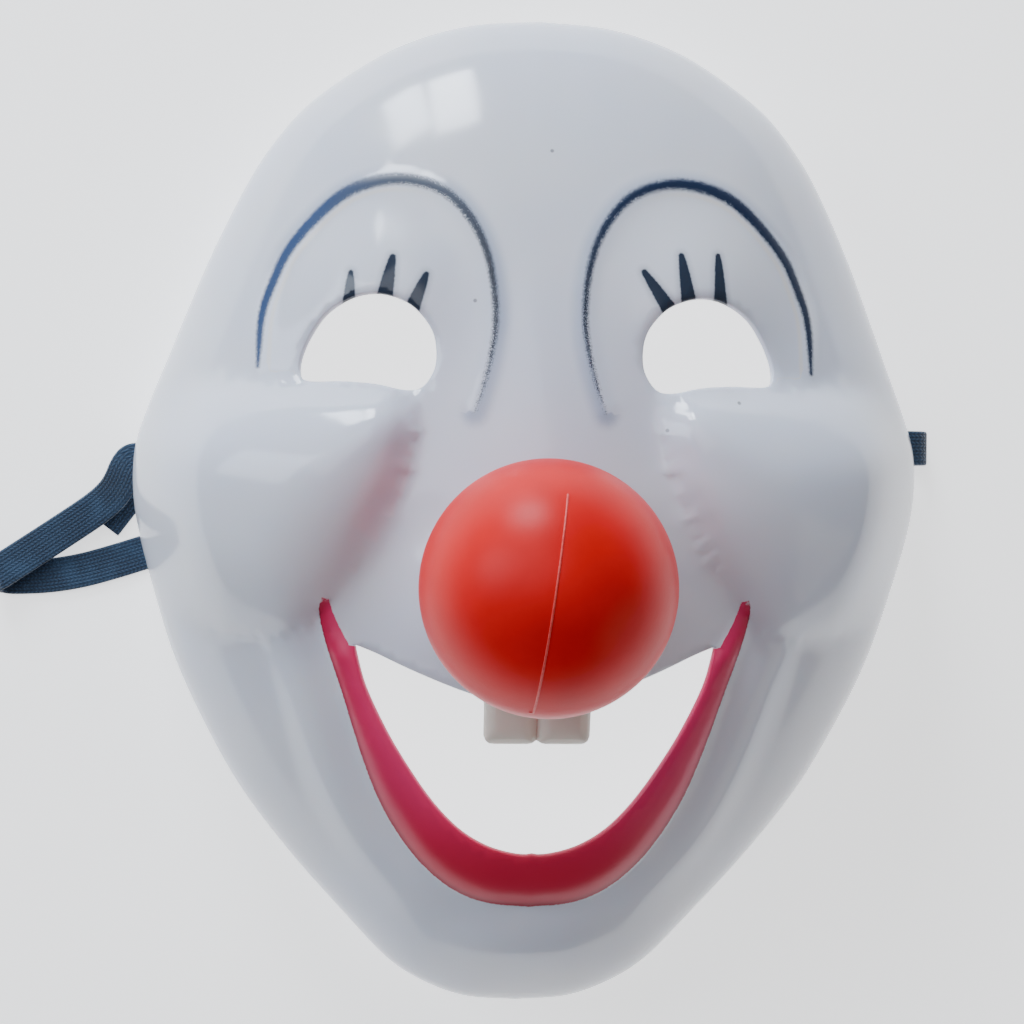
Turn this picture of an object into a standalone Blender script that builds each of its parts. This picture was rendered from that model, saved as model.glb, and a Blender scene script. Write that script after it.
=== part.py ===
"""A clown party mask: a thin moulded face shell, a round red nose and a flat elastic strap.

The mask lies on its rim with the face up: +Z is out of the face, +Y is the forehead and +X is the side
of the viewer's right hand. The origin is on the table, under the middle of the face. All sizes are in
metres.
"""

import math
from collections import namedtuple

import bmesh
import bpy
import numpy as np
from mathutils import Vector
from mathutils.geometry import delaunay_2d_cdt
from mathutils.kdtree import KDTree

# Sizes of the whole shell
MASK_HEIGHT = 0.2234
MASK_WIDTH = 0.1804
CROWN = 0.0545          # the dome's middle, over the table
WALL = 0.0016
SKIRT = 0.0110          # the upright band at the sides, from the table to where the dome starts
FOREHEAD_LIFT = 0.0100  # how far the rim rises off the table at the top of the forehead
CHIN_LIFT = 0.0040
DOME_FULLNESS = 2.2     # higher is a flatter middle with steeper sides
DOME_EDGE = 0.58        # lower is a squarer shoulder

# Bays in the rim that let the strap pass under it, one on each side
BAY_LIFT = 0.0024
BAY_TOP = 0.0340
BAY_BOTTOM = -0.0300
BAY_EASE = 0.0120

# Slots for the strap, in the skirt over the bays
SLOT_Y = 0.0125
SLOT_LENGTH = 0.0160
SLOT_HEIGHT = 0.0028
STRIP = 0.0034          # the strip of wall that is left under a slot

# Eye holes
EYE_X = 0.0363
EYE_Y = 0.0355
EYE_WIDTH = 0.0288
EYE_HEIGHT = 0.0204

# Swells over the eyes, and the raised line round each
LID_RISE = 0.0030
LID_X = 0.0350
LID_Y = 0.0460
LID_WIDTH = 0.0460
LID_HEIGHT = 0.0460
BROW_INNER = 0.0094
BROW_SPAN = 0.0505
BROW_BASE = 0.0205
BROW_HEIGHT = 0.0505
BROW_RISE = 0.0007
BROW_WIDTH = 0.0044

# Cheeks
CHEEK_INNER = 0.0257
CHEEK_SPAN = 0.0653
CHEEK_REACH = 0.0275    # up and down from the level of the middle of the mask
CHEEK_RISE = 0.0105
CHEEK_ROUND = 0.0230    # how far in from its edge a cheek keeps rising
CHEEK_SOFT = 0.0070     # how slowly a cheek starts to rise above its outer side

# Nose bridge, muzzle and the seat of the nose ball
BRIDGE_TOP = 0.0620
BRIDGE_RISE = 0.0055
BRIDGE_WIDTH = 0.0200
MUZZLE_RISE = 0.0060
MUZZLE_Y = -0.0220
MUZZLE_WIDTH = 0.0760
MUZZLE_HEIGHT = 0.0560
NOSE_Y = -0.0148
NOSE_RADIUS = 0.0253
SEAT_LEVEL = 0.0620
SEAT_RADIUS = 0.0145
SEAT_EASE = 0.0050

# Mouth, teeth and lip
MOUTH_HALF = 0.0384
MOUTH_TOP = -0.0284
MOUTH_DROP = 0.0450
TOOTH_WIDTH = 0.0114
TOOTH_BOTTOM = -0.0488
TOOTH_LEVEL = 0.0562     # the teeth's flat under their round fronts, over the table
TOOTH_LEAN = 0.0030      # how much lower that flat is at the tips of the teeth
TOOTH_RISE = 0.0020
TOOTH_ROUND = 0.0030
TOOTH_CORNER = 0.0022
LIP_HALF = 0.0458
LIP_TIP = -0.0184
LIP_DROP = 0.0670
LIP_RISE = 0.0034
LIP_CREST = 0.28        # where the lip is highest, as a share of its width in from its outer edge
LIP_BROAD = 0.0080      # the lip has its full rise from this width on
FOLD_OUT = 0.0085       # from the lip to the crest of the fold that runs beside it
FOLD_WIDTH = 0.0130
FOLD_RISE = 0.0022

# Chin and jaw
CHIN_Y = -0.1000
CHIN_WIDTH = 0.0580
CHIN_HEIGHT = 0.0340
CHIN_RISE = 0.0048
JAW_X = 0.0470
JAW_Y = -0.0800
JAW_LENGTH = 0.0300
JAW_WIDTH = 0.0140
JAW_DEPTH = 0.0026
JAW_SLOPE = math.radians(-40)

# Elastic strap
STRAP_WIDTH = 0.0080
STRAP_THICK = 0.0010
STRAP_LIE = 0.0003      # air under the strap where it lies on the table
LEFT_Y = 0.0110         # where the strap goes through the left slot
RIGHT_Y = 0.0159        # and the right slot
LEFT_FACING = 188.0     # which way the strap heads out of the left slot, in degrees from +X
LOOP_IN = 0.0016        # from the inside of the wall to the middle of the bend behind it
LOOP_OUT = 0.0016       # from the outside of the wall to the middle of the bend before it
FOLD_HEADING = 4.0      # which way the strap comes back from the fold at the far left
GAP = 0.0003            # air between pieces that touch

# Fineness of the faceted surfaces
FACET = 0.0062
SKIRT_ROWS = 2

HALF_HEIGHT = MASK_HEIGHT / 2
HALF_WIDTH = MASK_WIDTH / 2

Row = namedtuple("Row", "out up")

# The rim of the mask, from the top of the forehead down to the chin, on one side.
# out is a share of half the width, up is a share of half the height.
RIM = [
    Row(0.000, 1.000),
    Row(0.170, 0.989),
    Row(0.311, 0.957),
    Row(0.430, 0.909),
    Row(0.573, 0.826),
    Row(0.667, 0.739),
    Row(0.733, 0.652),
    Row(0.811, 0.522),
    Row(0.877, 0.391),
    Row(0.918, 0.304),
    Row(0.960, 0.217),
    Row(0.993, 0.130),
    Row(0.997, 0.043),
    Row(0.981, -0.043),
    Row(0.936, -0.174),
    Row(0.882, -0.304),
    Row(0.805, -0.435),
    Row(0.711, -0.565),
    Row(0.584, -0.696),
    Row(0.436, -0.826),
    Row(0.330, -0.913),
    Row(0.240, -0.960),
    Row(0.130, -0.992),
    Row(0.000, -1.000),
]

# An eye hole, clockwise from its top. out and up are shares of half its width and half its height.
EYE = [
    Row(-0.09, 1.00),
    Row(0.28, 0.90),
    Row(0.64, 0.58),
    Row(0.88, 0.09),
    Row(1.00, -0.36),
    Row(0.99, -0.66),
    Row(0.86, -0.79),
    Row(0.33, -0.80),
    Row(-0.16, -0.86),
    Row(-0.58, -0.99),
    Row(-0.81, -0.93),
    Row(-0.98, -0.56),
    Row(-1.00, -0.10),
    Row(-0.92, 0.30),
    Row(-0.69, 0.70),
    Row(-0.42, 0.91),
]

# The line of a brow, from its outer tip over the eye to its inner tail.
# out is a share of BROW_SPAN from the inner side, up is a share of BROW_HEIGHT from the tail.
BROW = [
    Row(1.000, 0.200),
    Row(0.990, 0.420),
    Row(0.940, 0.580),
    Row(0.870, 0.720),
    Row(0.725, 0.880),
    Row(0.600, 0.965),
    Row(0.450, 1.000),
    Row(0.315, 0.985),
    Row(0.200, 0.930),
    Row(0.110, 0.830),
    Row(0.045, 0.700),
    Row(0.010, 0.545),
    Row(0.000, 0.385),
    Row(0.020, 0.230),
    Row(0.050, 0.110),
    Row(0.085, 0.000),
]

# The edge of a cheek, from the rim under the eye hole, down beside the nose and back to the rim.
# out is a share of CHEEK_SPAN from the inner edge, up is a share of CHEEK_REACH. The ends lie past the rim.
CHEEK = [
    Row(1.300, 1.030),
    Row(0.900, 1.030),
    Row(0.680, 1.030),
    Row(0.525, 1.010),
    Row(0.372, 0.975),
    Row(0.220, 0.955),
    Row(0.090, 0.930),
    Row(0.025, 0.840),
    Row(0.000, 0.655),
    Row(0.023, 0.364),
    Row(0.073, 0.073),
    Row(0.135, -0.218),
    Row(0.204, -0.473),
    Row(0.273, -0.690),
    Row(0.334, -0.873),
    Row(0.418, -0.980),
    Row(0.556, -1.000),
    Row(0.755, -0.945),
    Row(1.000, -0.850),
    Row(1.300, -0.750),
]

# The upper edge of the mouth from its corner to the root of a tooth, and the lower edge back to the corner.
# out is a share of MOUTH_HALF, up is a share of MOUTH_DROP, down from the corners.
MOUTH_UPPER = [
    Row(1.000, 0.000),
    Row(0.878, -0.040),
    Row(0.716, -0.102),
    Row(0.547, -0.160),
    Row(0.400, -0.205),
    Row(0.310, -0.228),
]
MOUTH_LOWER = [
    Row(0.000, -1.000),
    Row(0.104, -0.993),
    Row(0.260, -0.953),
    Row(0.417, -0.870),
    Row(0.570, -0.735),
    Row(0.710, -0.565),
    Row(0.840, -0.380),
    Row(0.945, -0.190),
    Row(1.000, 0.000),
]

# The outer edge of the lip from its tip beside the cheek to its lowest point.
# out is a share of LIP_HALF, up is a share of LIP_DROP, down from the tip.
LIP_OUTER = [
    Row(0.985, 0.000),
    Row(1.000, -0.035),
    Row(0.990, -0.090),
    Row(0.956, -0.173),
    Row(0.895, -0.295),
    Row(0.840, -0.416),
    Row(0.780, -0.540),
    Row(0.710, -0.658),
    Row(0.615, -0.770),
    Row(0.500, -0.867),
    Row(0.356, -0.946),
    Row(0.197, -0.988),
    Row(0.000, -1.000),
]

# The inner edge of the lip above the mouth's corner, up to the tip, in the same shares.
LIP_INNER = [
    Row(0.862, -0.145),
    Row(0.905, -0.095),
    Row(0.940, -0.040),
    Row(0.955, -0.005),
]


Station = namedtuple("Station", "out along up facing")

# The strap's free tail, from its tip to where it goes under the left side of the rim.
# out is the distance out from the wall, along is the place along the side, both as laid,
# up is a share of the way from the table to the slot, facing is the heading in degrees from +X.
STRAP_TAIL = [
    Station(0.0079, -0.0042, 0.06, 233.0),
    Station(0.0049, -0.0002, 0.04, 233.0),
    Station(0.0019, 0.0038, 0.01, 229.0),
    Station(-0.0008, 0.0080, 0.00, 212.0),
    Station(-0.0022, 0.0101, 0.00, 196.0),
]

# The strand that comes out of the left slot and goes down and away to the fold, in the same measures.
STRAP_STRAND = [
    Station(-0.0008, 0.0110, 1.00, 188.0),
    Station(0.0010, 0.0106, 1.00, 196.0),
    Station(0.0024, 0.0088, 0.94, 214.0),
    Station(0.0038, 0.0058, 0.80, 226.0),
    Station(0.0060, 0.0028, 0.56, 222.0),
    Station(0.0100, -0.0006, 0.36, 215.0),
    Station(0.0180, -0.0061, 0.30, 214.0),
    Station(0.0260, -0.0115, 0.38, 214.0),
    Station(0.0312, -0.0150, 0.45, 214.0),
]

# The strand on the table, from the fold under the face to the right side.
# out is a share of half the mask's width from the middle, along and facing are as above.
STRAP_HIDDEN = [
    Station(-1.310, -0.0164, 0.0, 186.0),
    Station(-1.225, -0.0160, 0.0, 190.0),
    Station(-1.140, -0.0147, 0.0, 194.0),
    Station(-1.050, -0.0124, 0.0, 197.0),
    Station(-0.960, -0.0098, 0.0, 197.0),
    Station(-0.800, -0.0055, 0.0, 196.0),
    Station(-0.550, 0.0004, 0.0, 192.0),
    Station(-0.250, 0.0056, 0.0, 189.0),
    Station(0.100, 0.0100, 0.0, 187.0),
    Station(0.450, 0.0134, 0.0, 185.0),
    Station(0.750, 0.0154, 0.0, 182.0),
    Station(0.920, 0.0159, 0.0, 180.0),
]

# The strap's hidden end, from the right slot down to where it is sewn to the strand under it.
STRAP_END = [
    Station(0.0010, 0.0, 1.00, 180.0),
    Station(0.0030, 0.0, 0.97, 180.0),
    Station(0.0055, 0.0, 0.75, 180.0),
    Station(0.0085, 0.0, 0.42, 180.0),
    Station(0.0120, 0.0, 0.24, 180.0),
    Station(0.0180, 0.0, 0.21, 180.0),
]


def ease(value):
    """A smooth step from 0 to 1 as value goes from 0 to 1."""
    t = np.clip(value, 0.0, 1.0)
    return t * t * (3.0 - 2.0 * t)


def swell(distance):
    """A round hill: 1 in its middle, 0 from a distance of 1 outwards."""
    return 0.5 + 0.5 * np.cos(math.pi * np.clip(np.abs(distance), 0.0, 1.0))


def points_of(rows, width, height, x=0.0, y=0.0):
    """A table's rows as points, with its shares turned into lengths."""
    return np.array([(x + row.out * width, y + row.up * height) for row in rows])


def curve_through(points, steps, closed=False):
    """A Catmull-Rom curve through the points, with steps pieces between each two of them."""
    if closed:
        padded = np.vstack([points[-1], points, points[:2]])
    else:
        padded = np.vstack([2 * points[0] - points[1], points, 2 * points[-1] - points[-2]])
    t = np.arange(steps)[:, None] / steps
    spans = []
    for a, b, c, d in zip(padded, padded[1:], padded[2:], padded[3:]):
        spans.append(b + 0.5 * t * (c - a + t * (2 * a - 5 * b + 4 * c - d + t * (3 * (b - c) + d - a))))
    curve = np.vstack(spans)
    return curve if closed else np.vstack([curve, points[-1:]])


def spaced(line, step):
    """The line again, with points about step apart along it."""
    along = np.concatenate([[0.0], np.cumsum(np.linalg.norm(np.diff(line, axis=0), axis=1))])
    count = max(2, round(along[-1] / step) + 1)
    at = np.linspace(0.0, along[-1], count)
    return np.column_stack([np.interp(at, along, line[:, 0]), np.interp(at, along, line[:, 1])])


def distance_to(points, line):
    """The distance from each point to the nearest stretch of a line."""
    best = np.full(len(points), np.inf)
    for a, b in zip(line, line[1:]):
        run = b - a
        share = np.clip((points - a) @ run / max(run @ run, 1e-18), 0.0, 1.0)
        best = np.minimum(best, np.linalg.norm(points - a - share[:, None] * run, axis=1))
    return best


def inside_of(points, outline):
    """Whether each point lies inside a closed outline."""
    crossings = np.zeros(len(points), int)
    for a, b in zip(outline, np.roll(outline, -1, axis=0)):
        spans = (a[1] > points[:, 1]) != (b[1] > points[:, 1])
        level = np.where(spans, points[:, 1], a[1])
        at = a[0] + (level - a[1]) * (b[0] - a[0]) / (b[1] - a[1] if b[1] != a[1] else 1.0)
        crossings += spans & (points[:, 0] < at)
    return crossings % 2 == 1


def rim_radius(angle):
    """How far the rim is from the middle of the mask, by the angle from +Y, the same on both sides."""
    side = curve_through(points_of(RIM, HALF_WIDTH, HALF_HEIGHT), 8)
    return np.interp(np.abs(angle), np.arctan2(side[:, 0], side[:, 1]), np.hypot(side[:, 0], side[:, 1]))


# The dome's fall from its middle to its edge, with the length along the surface to each place,
# so that facets can be spread evenly over its steep shoulder.
FALL = 1.0 - (1.0 - np.linspace(0.0, 1.0, 400)) ** 2
DOME = (1.0 - FALL**DOME_FULLNESS) ** DOME_EDGE
SLANT = np.hypot(np.diff(FALL), np.diff(DOME) * CROWN / HALF_WIDTH)
ALONG = np.concatenate([[0.0], np.cumsum(SLANT)])


def unroll(points):
    """Moves points on the mask's plan out to where they are when the dome is laid flat."""
    reach = np.hypot(points[:, 0], points[:, 1])
    share = reach / rim_radius(np.arctan2(points[:, 0], points[:, 1]))
    factor = np.interp(share, FALL, ALONG) / np.maximum(share, 1e-9)
    return points * np.where(share < 1e-6, 1.0, factor)[:, None]


def roll_up(points):
    """Moves points on the flat dome back to the mask's plan."""
    reach = np.hypot(points[:, 0], points[:, 1])
    share = reach / rim_radius(np.arctan2(points[:, 0], points[:, 1]))
    factor = np.interp(share, ALONG, FALL) / np.maximum(share, 1e-9)
    return points * np.where(share < 1e-6, 1.0, factor)[:, None]


def rim_lift(y):
    """How far the rim stands over the table at a place along its side."""
    bay = ease((BAY_TOP - y) / BAY_EASE) * ease((y - BAY_BOTTOM) / BAY_EASE)
    forehead = ease((y / HALF_HEIGHT - 0.50) / 0.50)
    chin = ease((-y / HALF_HEIGHT - 0.68) / 0.32)
    return BAY_LIFT * bay + FOREHEAD_LIFT * forehead + CHIN_LIFT * chin


def skirt_top(y):
    """The level where the upright skirt ends and the dome starts."""
    forehead = ease((y / HALF_HEIGHT - 0.35) / 0.65)
    chin = ease((-y / HALF_HEIGHT - 0.45) / 0.55)
    return SKIRT + (FOREHEAD_LIFT - 0.5 * SKIRT) * forehead + (CHIN_LIFT - 0.2 * SKIRT) * chin


def outlines():
    """Every outline that the relief follows, by name, on the side where x is positive."""
    tooth_root = MOUTH_TOP + MOUTH_UPPER[-1].up * MOUTH_DROP
    corner = TOOTH_CORNER
    tooth = np.array([
        (TOOTH_WIDTH, tooth_root),
        (TOOTH_WIDTH, TOOTH_BOTTOM + 1.4 * corner),
        (TOOTH_WIDTH - 0.3 * corner, TOOTH_BOTTOM + 0.4 * corner),
        (TOOTH_WIDTH - corner, TOOTH_BOTTOM),
        (0.7 * corner, TOOTH_BOTTOM),
        (0.0, TOOTH_BOTTOM + 0.5 * corner),
    ])
    upper = curve_through(points_of(MOUTH_UPPER, MOUTH_HALF, MOUTH_DROP, y=MOUTH_TOP), 4)
    lower = curve_through(points_of(MOUTH_LOWER, MOUTH_HALF, MOUTH_DROP, y=MOUTH_TOP), 4)
    lip_outer = curve_through(points_of(LIP_OUTER, LIP_HALF, LIP_DROP, y=LIP_TIP), 4)
    lip_inner = curve_through(points_of(LIP_INNER, LIP_HALF, LIP_DROP, y=LIP_TIP), 4)
    return {
        "eye": curve_through(points_of(EYE, EYE_WIDTH / 2, EYE_HEIGHT / 2, EYE_X, EYE_Y), 2, closed=True),
        "brow": curve_through(points_of(BROW, BROW_SPAN, BROW_HEIGHT, BROW_INNER, BROW_BASE), 3),
        "cheek": curve_through(points_of(CHEEK, CHEEK_SPAN, CHEEK_REACH, CHEEK_INNER), 3),
        "mouth_upper": np.vstack([upper, tooth]),
        "mouth_lower": lower,
        "lip_outer": lip_outer,
        "lip_inner": lip_inner,
        "tooth": tooth,
    }


LINES = outlines()


def lip_relief(points):
    """The round swell of the lip, and the fold that runs outside it."""
    inner = np.vstack([LINES["mouth_lower"], LINES["lip_inner"]])
    outer = LINES["lip_outer"]
    to_inner = distance_to(points, inner)
    to_outer = distance_to(points, outer)
    across = to_outer / np.maximum(to_outer + to_inner, 1e-9)
    on_edge = np.minimum(to_outer, to_inner) < 1e-6
    within = inside_of(points, np.vstack([inner, outer])) | on_edge
    rolled = 0.5 + 0.30 * ease((MOUTH_TOP - points[:, 1]) / 0.010)
    rise = np.where(across < LIP_CREST, 0.5 * across / LIP_CREST,
                    0.5 + (1.0 - rolled) * (across - LIP_CREST) / (1.0 - LIP_CREST))
    full = ease((to_outer + to_inner) / LIP_BROAD) * ease((LIP_TIP - points[:, 1]) / LIP_BROAD)
    lip = LIP_RISE * full * np.sin(math.pi * np.clip(rise, 0.0, 1.0)) ** 0.8

    drop = np.clip((LIP_TIP - points[:, 1]) / LIP_DROP, 0.0, 2.0)
    fade = ease(drop / 0.25) * (1.0 - 0.7 * ease((drop - 0.80) / 0.25))
    fold_half = np.where(to_outer < FOLD_OUT, FOLD_OUT, FOLD_WIDTH / 2)
    fold = FOLD_RISE * fade * swell((to_outer - FOLD_OUT) / fold_half)
    midline = [(-0.001, LIP_TIP - LIP_DROP), (-0.001, LIP_TIP + 0.002)]
    enclosed = inside_of(points, np.vstack([outer, midline]))
    return np.where(within, lip, np.where(enclosed, 0.0, fold))


def relief(points):
    """How far the features stand over the plain dome, for points with x at 0 or more."""
    x, y = points[:, 0], points[:, 1]

    lid = LID_RISE * swell(np.hypot((x - LID_X) / (LID_WIDTH / 2), (y - LID_Y) / (LID_HEIGHT / 2)))
    brow = BROW_RISE * swell(distance_to(points, LINES["brow"]) / (BROW_WIDTH / 2))

    inward = np.where(inside_of(points, LINES["cheek"]), distance_to(points, LINES["cheek"]), 0.0)
    soft = CHEEK_SOFT * ease((x - EYE_X) / (HALF_WIDTH - EYE_X)) * ease(y / CHEEK_REACH)
    inward = inward**2 / np.maximum(inward + soft, 1e-9)
    cheek = CHEEK_RISE * np.sin(math.pi / 2 * np.clip(inward / CHEEK_ROUND, 0.0, 1.0))

    down = ease((BRIDGE_TOP - y) / (BRIDGE_TOP - NOSE_Y))
    half = BRIDGE_WIDTH / 2 * (1.0 + 1.4 * down)
    under = ease((y - MOUTH_TOP + 0.6 * MOUTH_DROP) / (0.6 * MOUTH_DROP))
    bridge = BRIDGE_RISE * down * under * np.exp(-((x / half) ** 2))
    muzzle = MUZZLE_RISE * swell(np.hypot(x / (MUZZLE_WIDTH / 2), (y - MUZZLE_Y) / (MUZZLE_HEIGHT / 2)))

    chin = CHIN_RISE * swell(np.hypot(x / (CHIN_WIDTH / 2), (y - CHIN_Y) / (CHIN_HEIGHT / 2)))
    turn = math.cos(JAW_SLOPE), math.sin(JAW_SLOPE)
    run = (x - JAW_X) * turn[0] - (y - JAW_Y) * turn[1]
    off = (x - JAW_X) * turn[1] + (y - JAW_Y) * turn[0]
    jaw = -JAW_DEPTH * swell(np.hypot(run / (JAW_LENGTH / 2), off / (JAW_WIDTH / 2)))
    return lid + brow + cheek + bridge + muzzle + lip_relief(points) + chin + jaw


def height(points):
    """The level of the outer surface over the table, for points on the plan with x at 0 or more."""
    x, y = points[:, 0], points[:, 1]
    share = np.clip(np.hypot(x, y) / rim_radius(np.arctan2(x, y)), 0.0, 1.0)
    base = skirt_top(y * np.where(share > 0, 1.0, 0.0))
    level = base + (CROWN - base) * np.interp(share, FALL, DOME)
    level += relief(points) * ease((1.0 - share) / 0.22)
    seat = ease((SEAT_RADIUS + SEAT_EASE - np.hypot(x, y - NOSE_Y)) / SEAT_EASE)
    level += (SEAT_LEVEL - level) * seat

    root = MOUTH_TOP + MOUTH_UPPER[-1].up * MOUTH_DROP
    inset = np.minimum(np.minimum(x, TOOTH_WIDTH - x), y - TOOTH_BOTTOM) / TOOTH_ROUND
    lean = TOOTH_LEAN * (root - y) / (root - TOOTH_BOTTOM)
    tooth = TOOTH_LEVEL - lean + TOOTH_RISE * np.sin(math.pi / 2 * np.clip(inset, 0.0, 1.0))
    on_tooth = (x < TOOTH_WIDTH + 1e-6) & (y > TOOTH_BOTTOM - 1e-3)
    toothed = ease((root + 0.5 * TOOTH_ROUND - y) / TOOTH_ROUND) * on_tooth
    return level + (tooth - level) * toothed


def half_plan():
    """Points and triangles of the right half of the face, seen from the front, with its holes left open."""
    rim = spaced(unroll(0.999999 * curve_through(points_of(RIM, HALF_WIDTH, HALF_HEIGHT), 8)), FACET)
    fine = 0.62 * FACET
    eye = spaced(np.vstack([LINES["eye"], LINES["eye"][:1]]), 0.5 * FACET)[:-1]
    upper = np.vstack([spaced(LINES["mouth_upper"][:-6], 0.7 * FACET), LINES["mouth_upper"][-5:]])
    lower = spaced(LINES["mouth_lower"], 0.7 * FACET)
    mouth = np.vstack([upper, lower[:-1]])
    cheek = spaced(LINES["cheek"], fine)
    within = np.hypot(*cheek.T) < 0.97 * rim_radius(np.arctan2(*cheek.T))
    brow = spaced(LINES["brow"], fine)
    across = np.gradient(brow, axis=0)[:, ::-1] * (1.0, -1.0)
    across *= BROW_WIDTH / 2 / np.linalg.norm(across, axis=1)[:, None]
    seat_turn = np.linspace(0.0, math.pi, 9)
    ring = np.column_stack([np.sin(seat_turn), np.cos(seat_turn)])
    middle = np.array([0.0, NOSE_Y])
    lip = spaced(LINES["lip_outer"], fine)
    inner = np.vstack([LINES["mouth_lower"], LINES["lip_inner"]])
    toward = np.array([inner[np.linalg.norm(inner - p, axis=1).argmin()] - p for p in lip])
    toward[-1, 0] = 0.0
    outward = np.gradient(lip, axis=0)[:, ::-1] * (-1.0, 1.0)
    outward[-1, 0] = 0.0
    outward /= np.linalg.norm(outward, axis=1)[:, None]
    low = lip[:, 1] < MOUTH_TOP
    tooth = np.array([
        (TOOTH_WIDTH - TOOTH_ROUND, LINES["tooth"][0, 1]),
        (TOOTH_WIDTH - TOOTH_ROUND, TOOTH_BOTTOM + TOOTH_ROUND),
        (TOOTH_ROUND, TOOTH_BOTTOM + TOOTH_ROUND),
        (TOOTH_ROUND, LINES["tooth"][0, 1]),
    ])
    lines = [
        cheek[within],
        brow,
        (brow + across)[1:-1],
        (brow - across)[1:-1],
        lip,
        (lip + 0.5 * LIP_CREST * toward)[2:],
        (lip + LIP_CREST * toward)[2:],
        (lip + 0.65 * toward)[3:],
        (lip + 0.4 * FOLD_OUT * outward)[low],
        (lip + FOLD_OUT * outward)[low],
        spaced(LINES["lip_inner"], 0.5 * fine)[1:],
        middle + ring * SEAT_RADIUS,
        middle + ring * (SEAT_RADIUS + SEAT_EASE),
        spaced(tooth, 0.5 * FACET),
    ]
    lines = [unroll(line) for line in lines]
    holes = [unroll(eye), unroll(mouth)]

    top = np.column_stack([np.zeros(2), [rim[0, 1], unroll(mouth[len(upper) - 1:len(upper)])[0, 1]]])
    bottom = np.column_stack([np.zeros(2), [unroll(mouth[len(upper):len(upper) + 1])[0, 1], rim[-1, 1]]])
    lines += [rim, spaced(top, FACET), spaced(bottom, FACET)]

    verts = []
    edges = []
    for line in lines:
        first = len(verts)
        verts.extend(line.tolist())
        edges.extend((first + i, first + i + 1) for i in range(len(line) - 1))
    for hole in holes:
        first = len(verts)
        verts.extend(hole.tolist())
        edges.extend((first + i, first + (i + 1) % len(hole)) for i in range(len(hole)))

    drawn = np.array(verts)
    drawn[np.abs(drawn[:, 0]) < 1e-6, 0] = 0.0
    verts = drawn.tolist()
    row = FACET * math.sqrt(3) / 2
    lattice = np.array([
        ((i + 0.5 * (j % 2)) * FACET, j * row)
        for j in range(-int(1.4 * HALF_HEIGHT / row), int(1.4 * HALF_HEIGHT / row) + 1)
        for i in range(int(1.5 * HALF_WIDTH / FACET))
    ])
    lattice = lattice[lattice[:, 0] > 0.3 * FACET]
    lattice = lattice[inside_of(lattice, rim)]
    near = np.array([np.linalg.norm(drawn - p, axis=1).min() for p in lattice])
    lattice = lattice[near > 0.62 * FACET]
    verts.extend(lattice.tolist())

    coords, _, faces, _, _, _ = delaunay_2d_cdt([Vector(v) for v in verts], edges, [], 0, 1e-7)
    coords = np.array([tuple(v) for v in coords])
    a, b, c = (coords[[face[i] for face in faces]] for i in range(3))
    middles = (a + b + c) / 3
    doubled = (b[:, 0] - a[:, 0]) * (c[:, 1] - a[:, 1]) - (b[:, 1] - a[:, 1]) * (c[:, 0] - a[:, 0])
    solid = inside_of(middles, rim) & (np.abs(doubled) > 1e-10)
    for hole in holes:
        solid &= ~inside_of(middles, hole)
    return coords, [face for face, keep in zip(faces, solid) if keep], rim


def remove_everything():
    for item in list(bpy.data.objects):
        bpy.data.objects.remove(item, do_unlink=True)
    for collection in list(bpy.data.collections):
        bpy.data.collections.remove(collection)


def new_collection(name):
    collection = bpy.data.collections.new(name)
    bpy.context.scene.collection.children.link(collection)
    return collection


def new_material(name, colour, roughness):
    material = bpy.data.materials.new(name)
    material.use_nodes = True
    shader = material.node_tree.nodes["Principled BSDF"]
    shader.inputs["Base Color"].default_value = (*colour, 1.0)
    shader.inputs["Roughness"].default_value = roughness
    shader.inputs["Metallic"].default_value = 0.0
    return material


def new_object(name, mesh, collection, material=None):
    item = bpy.data.objects.new(name, mesh)
    collection.objects.link(item)
    if material:
        mesh.materials.append(material)
    return item


def box_cutter(name, low, high, collection):
    """A box to cut with, hidden in the render."""
    mesh = bpy.data.meshes.new(name)
    bm = bmesh.new()
    bmesh.ops.create_cube(bm, size=1.0)
    size = Vector(high) - Vector(low)
    middle = (Vector(high) + Vector(low)) / 2
    for vert in bm.verts:
        vert.co = middle + Vector(a * b for a, b in zip(vert.co, size))
    bm.to_mesh(mesh)
    bm.free()
    item = new_object(name, mesh, collection)
    item.hide_render = True
    item.display_type = "WIRE"
    return item


def cut(item, cutter):
    modifier = item.modifiers.new(f"cut {cutter.name}", "BOOLEAN")
    modifier.operation = "DIFFERENCE"
    modifier.solver = "EXACT"
    modifier.object = cutter


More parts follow.
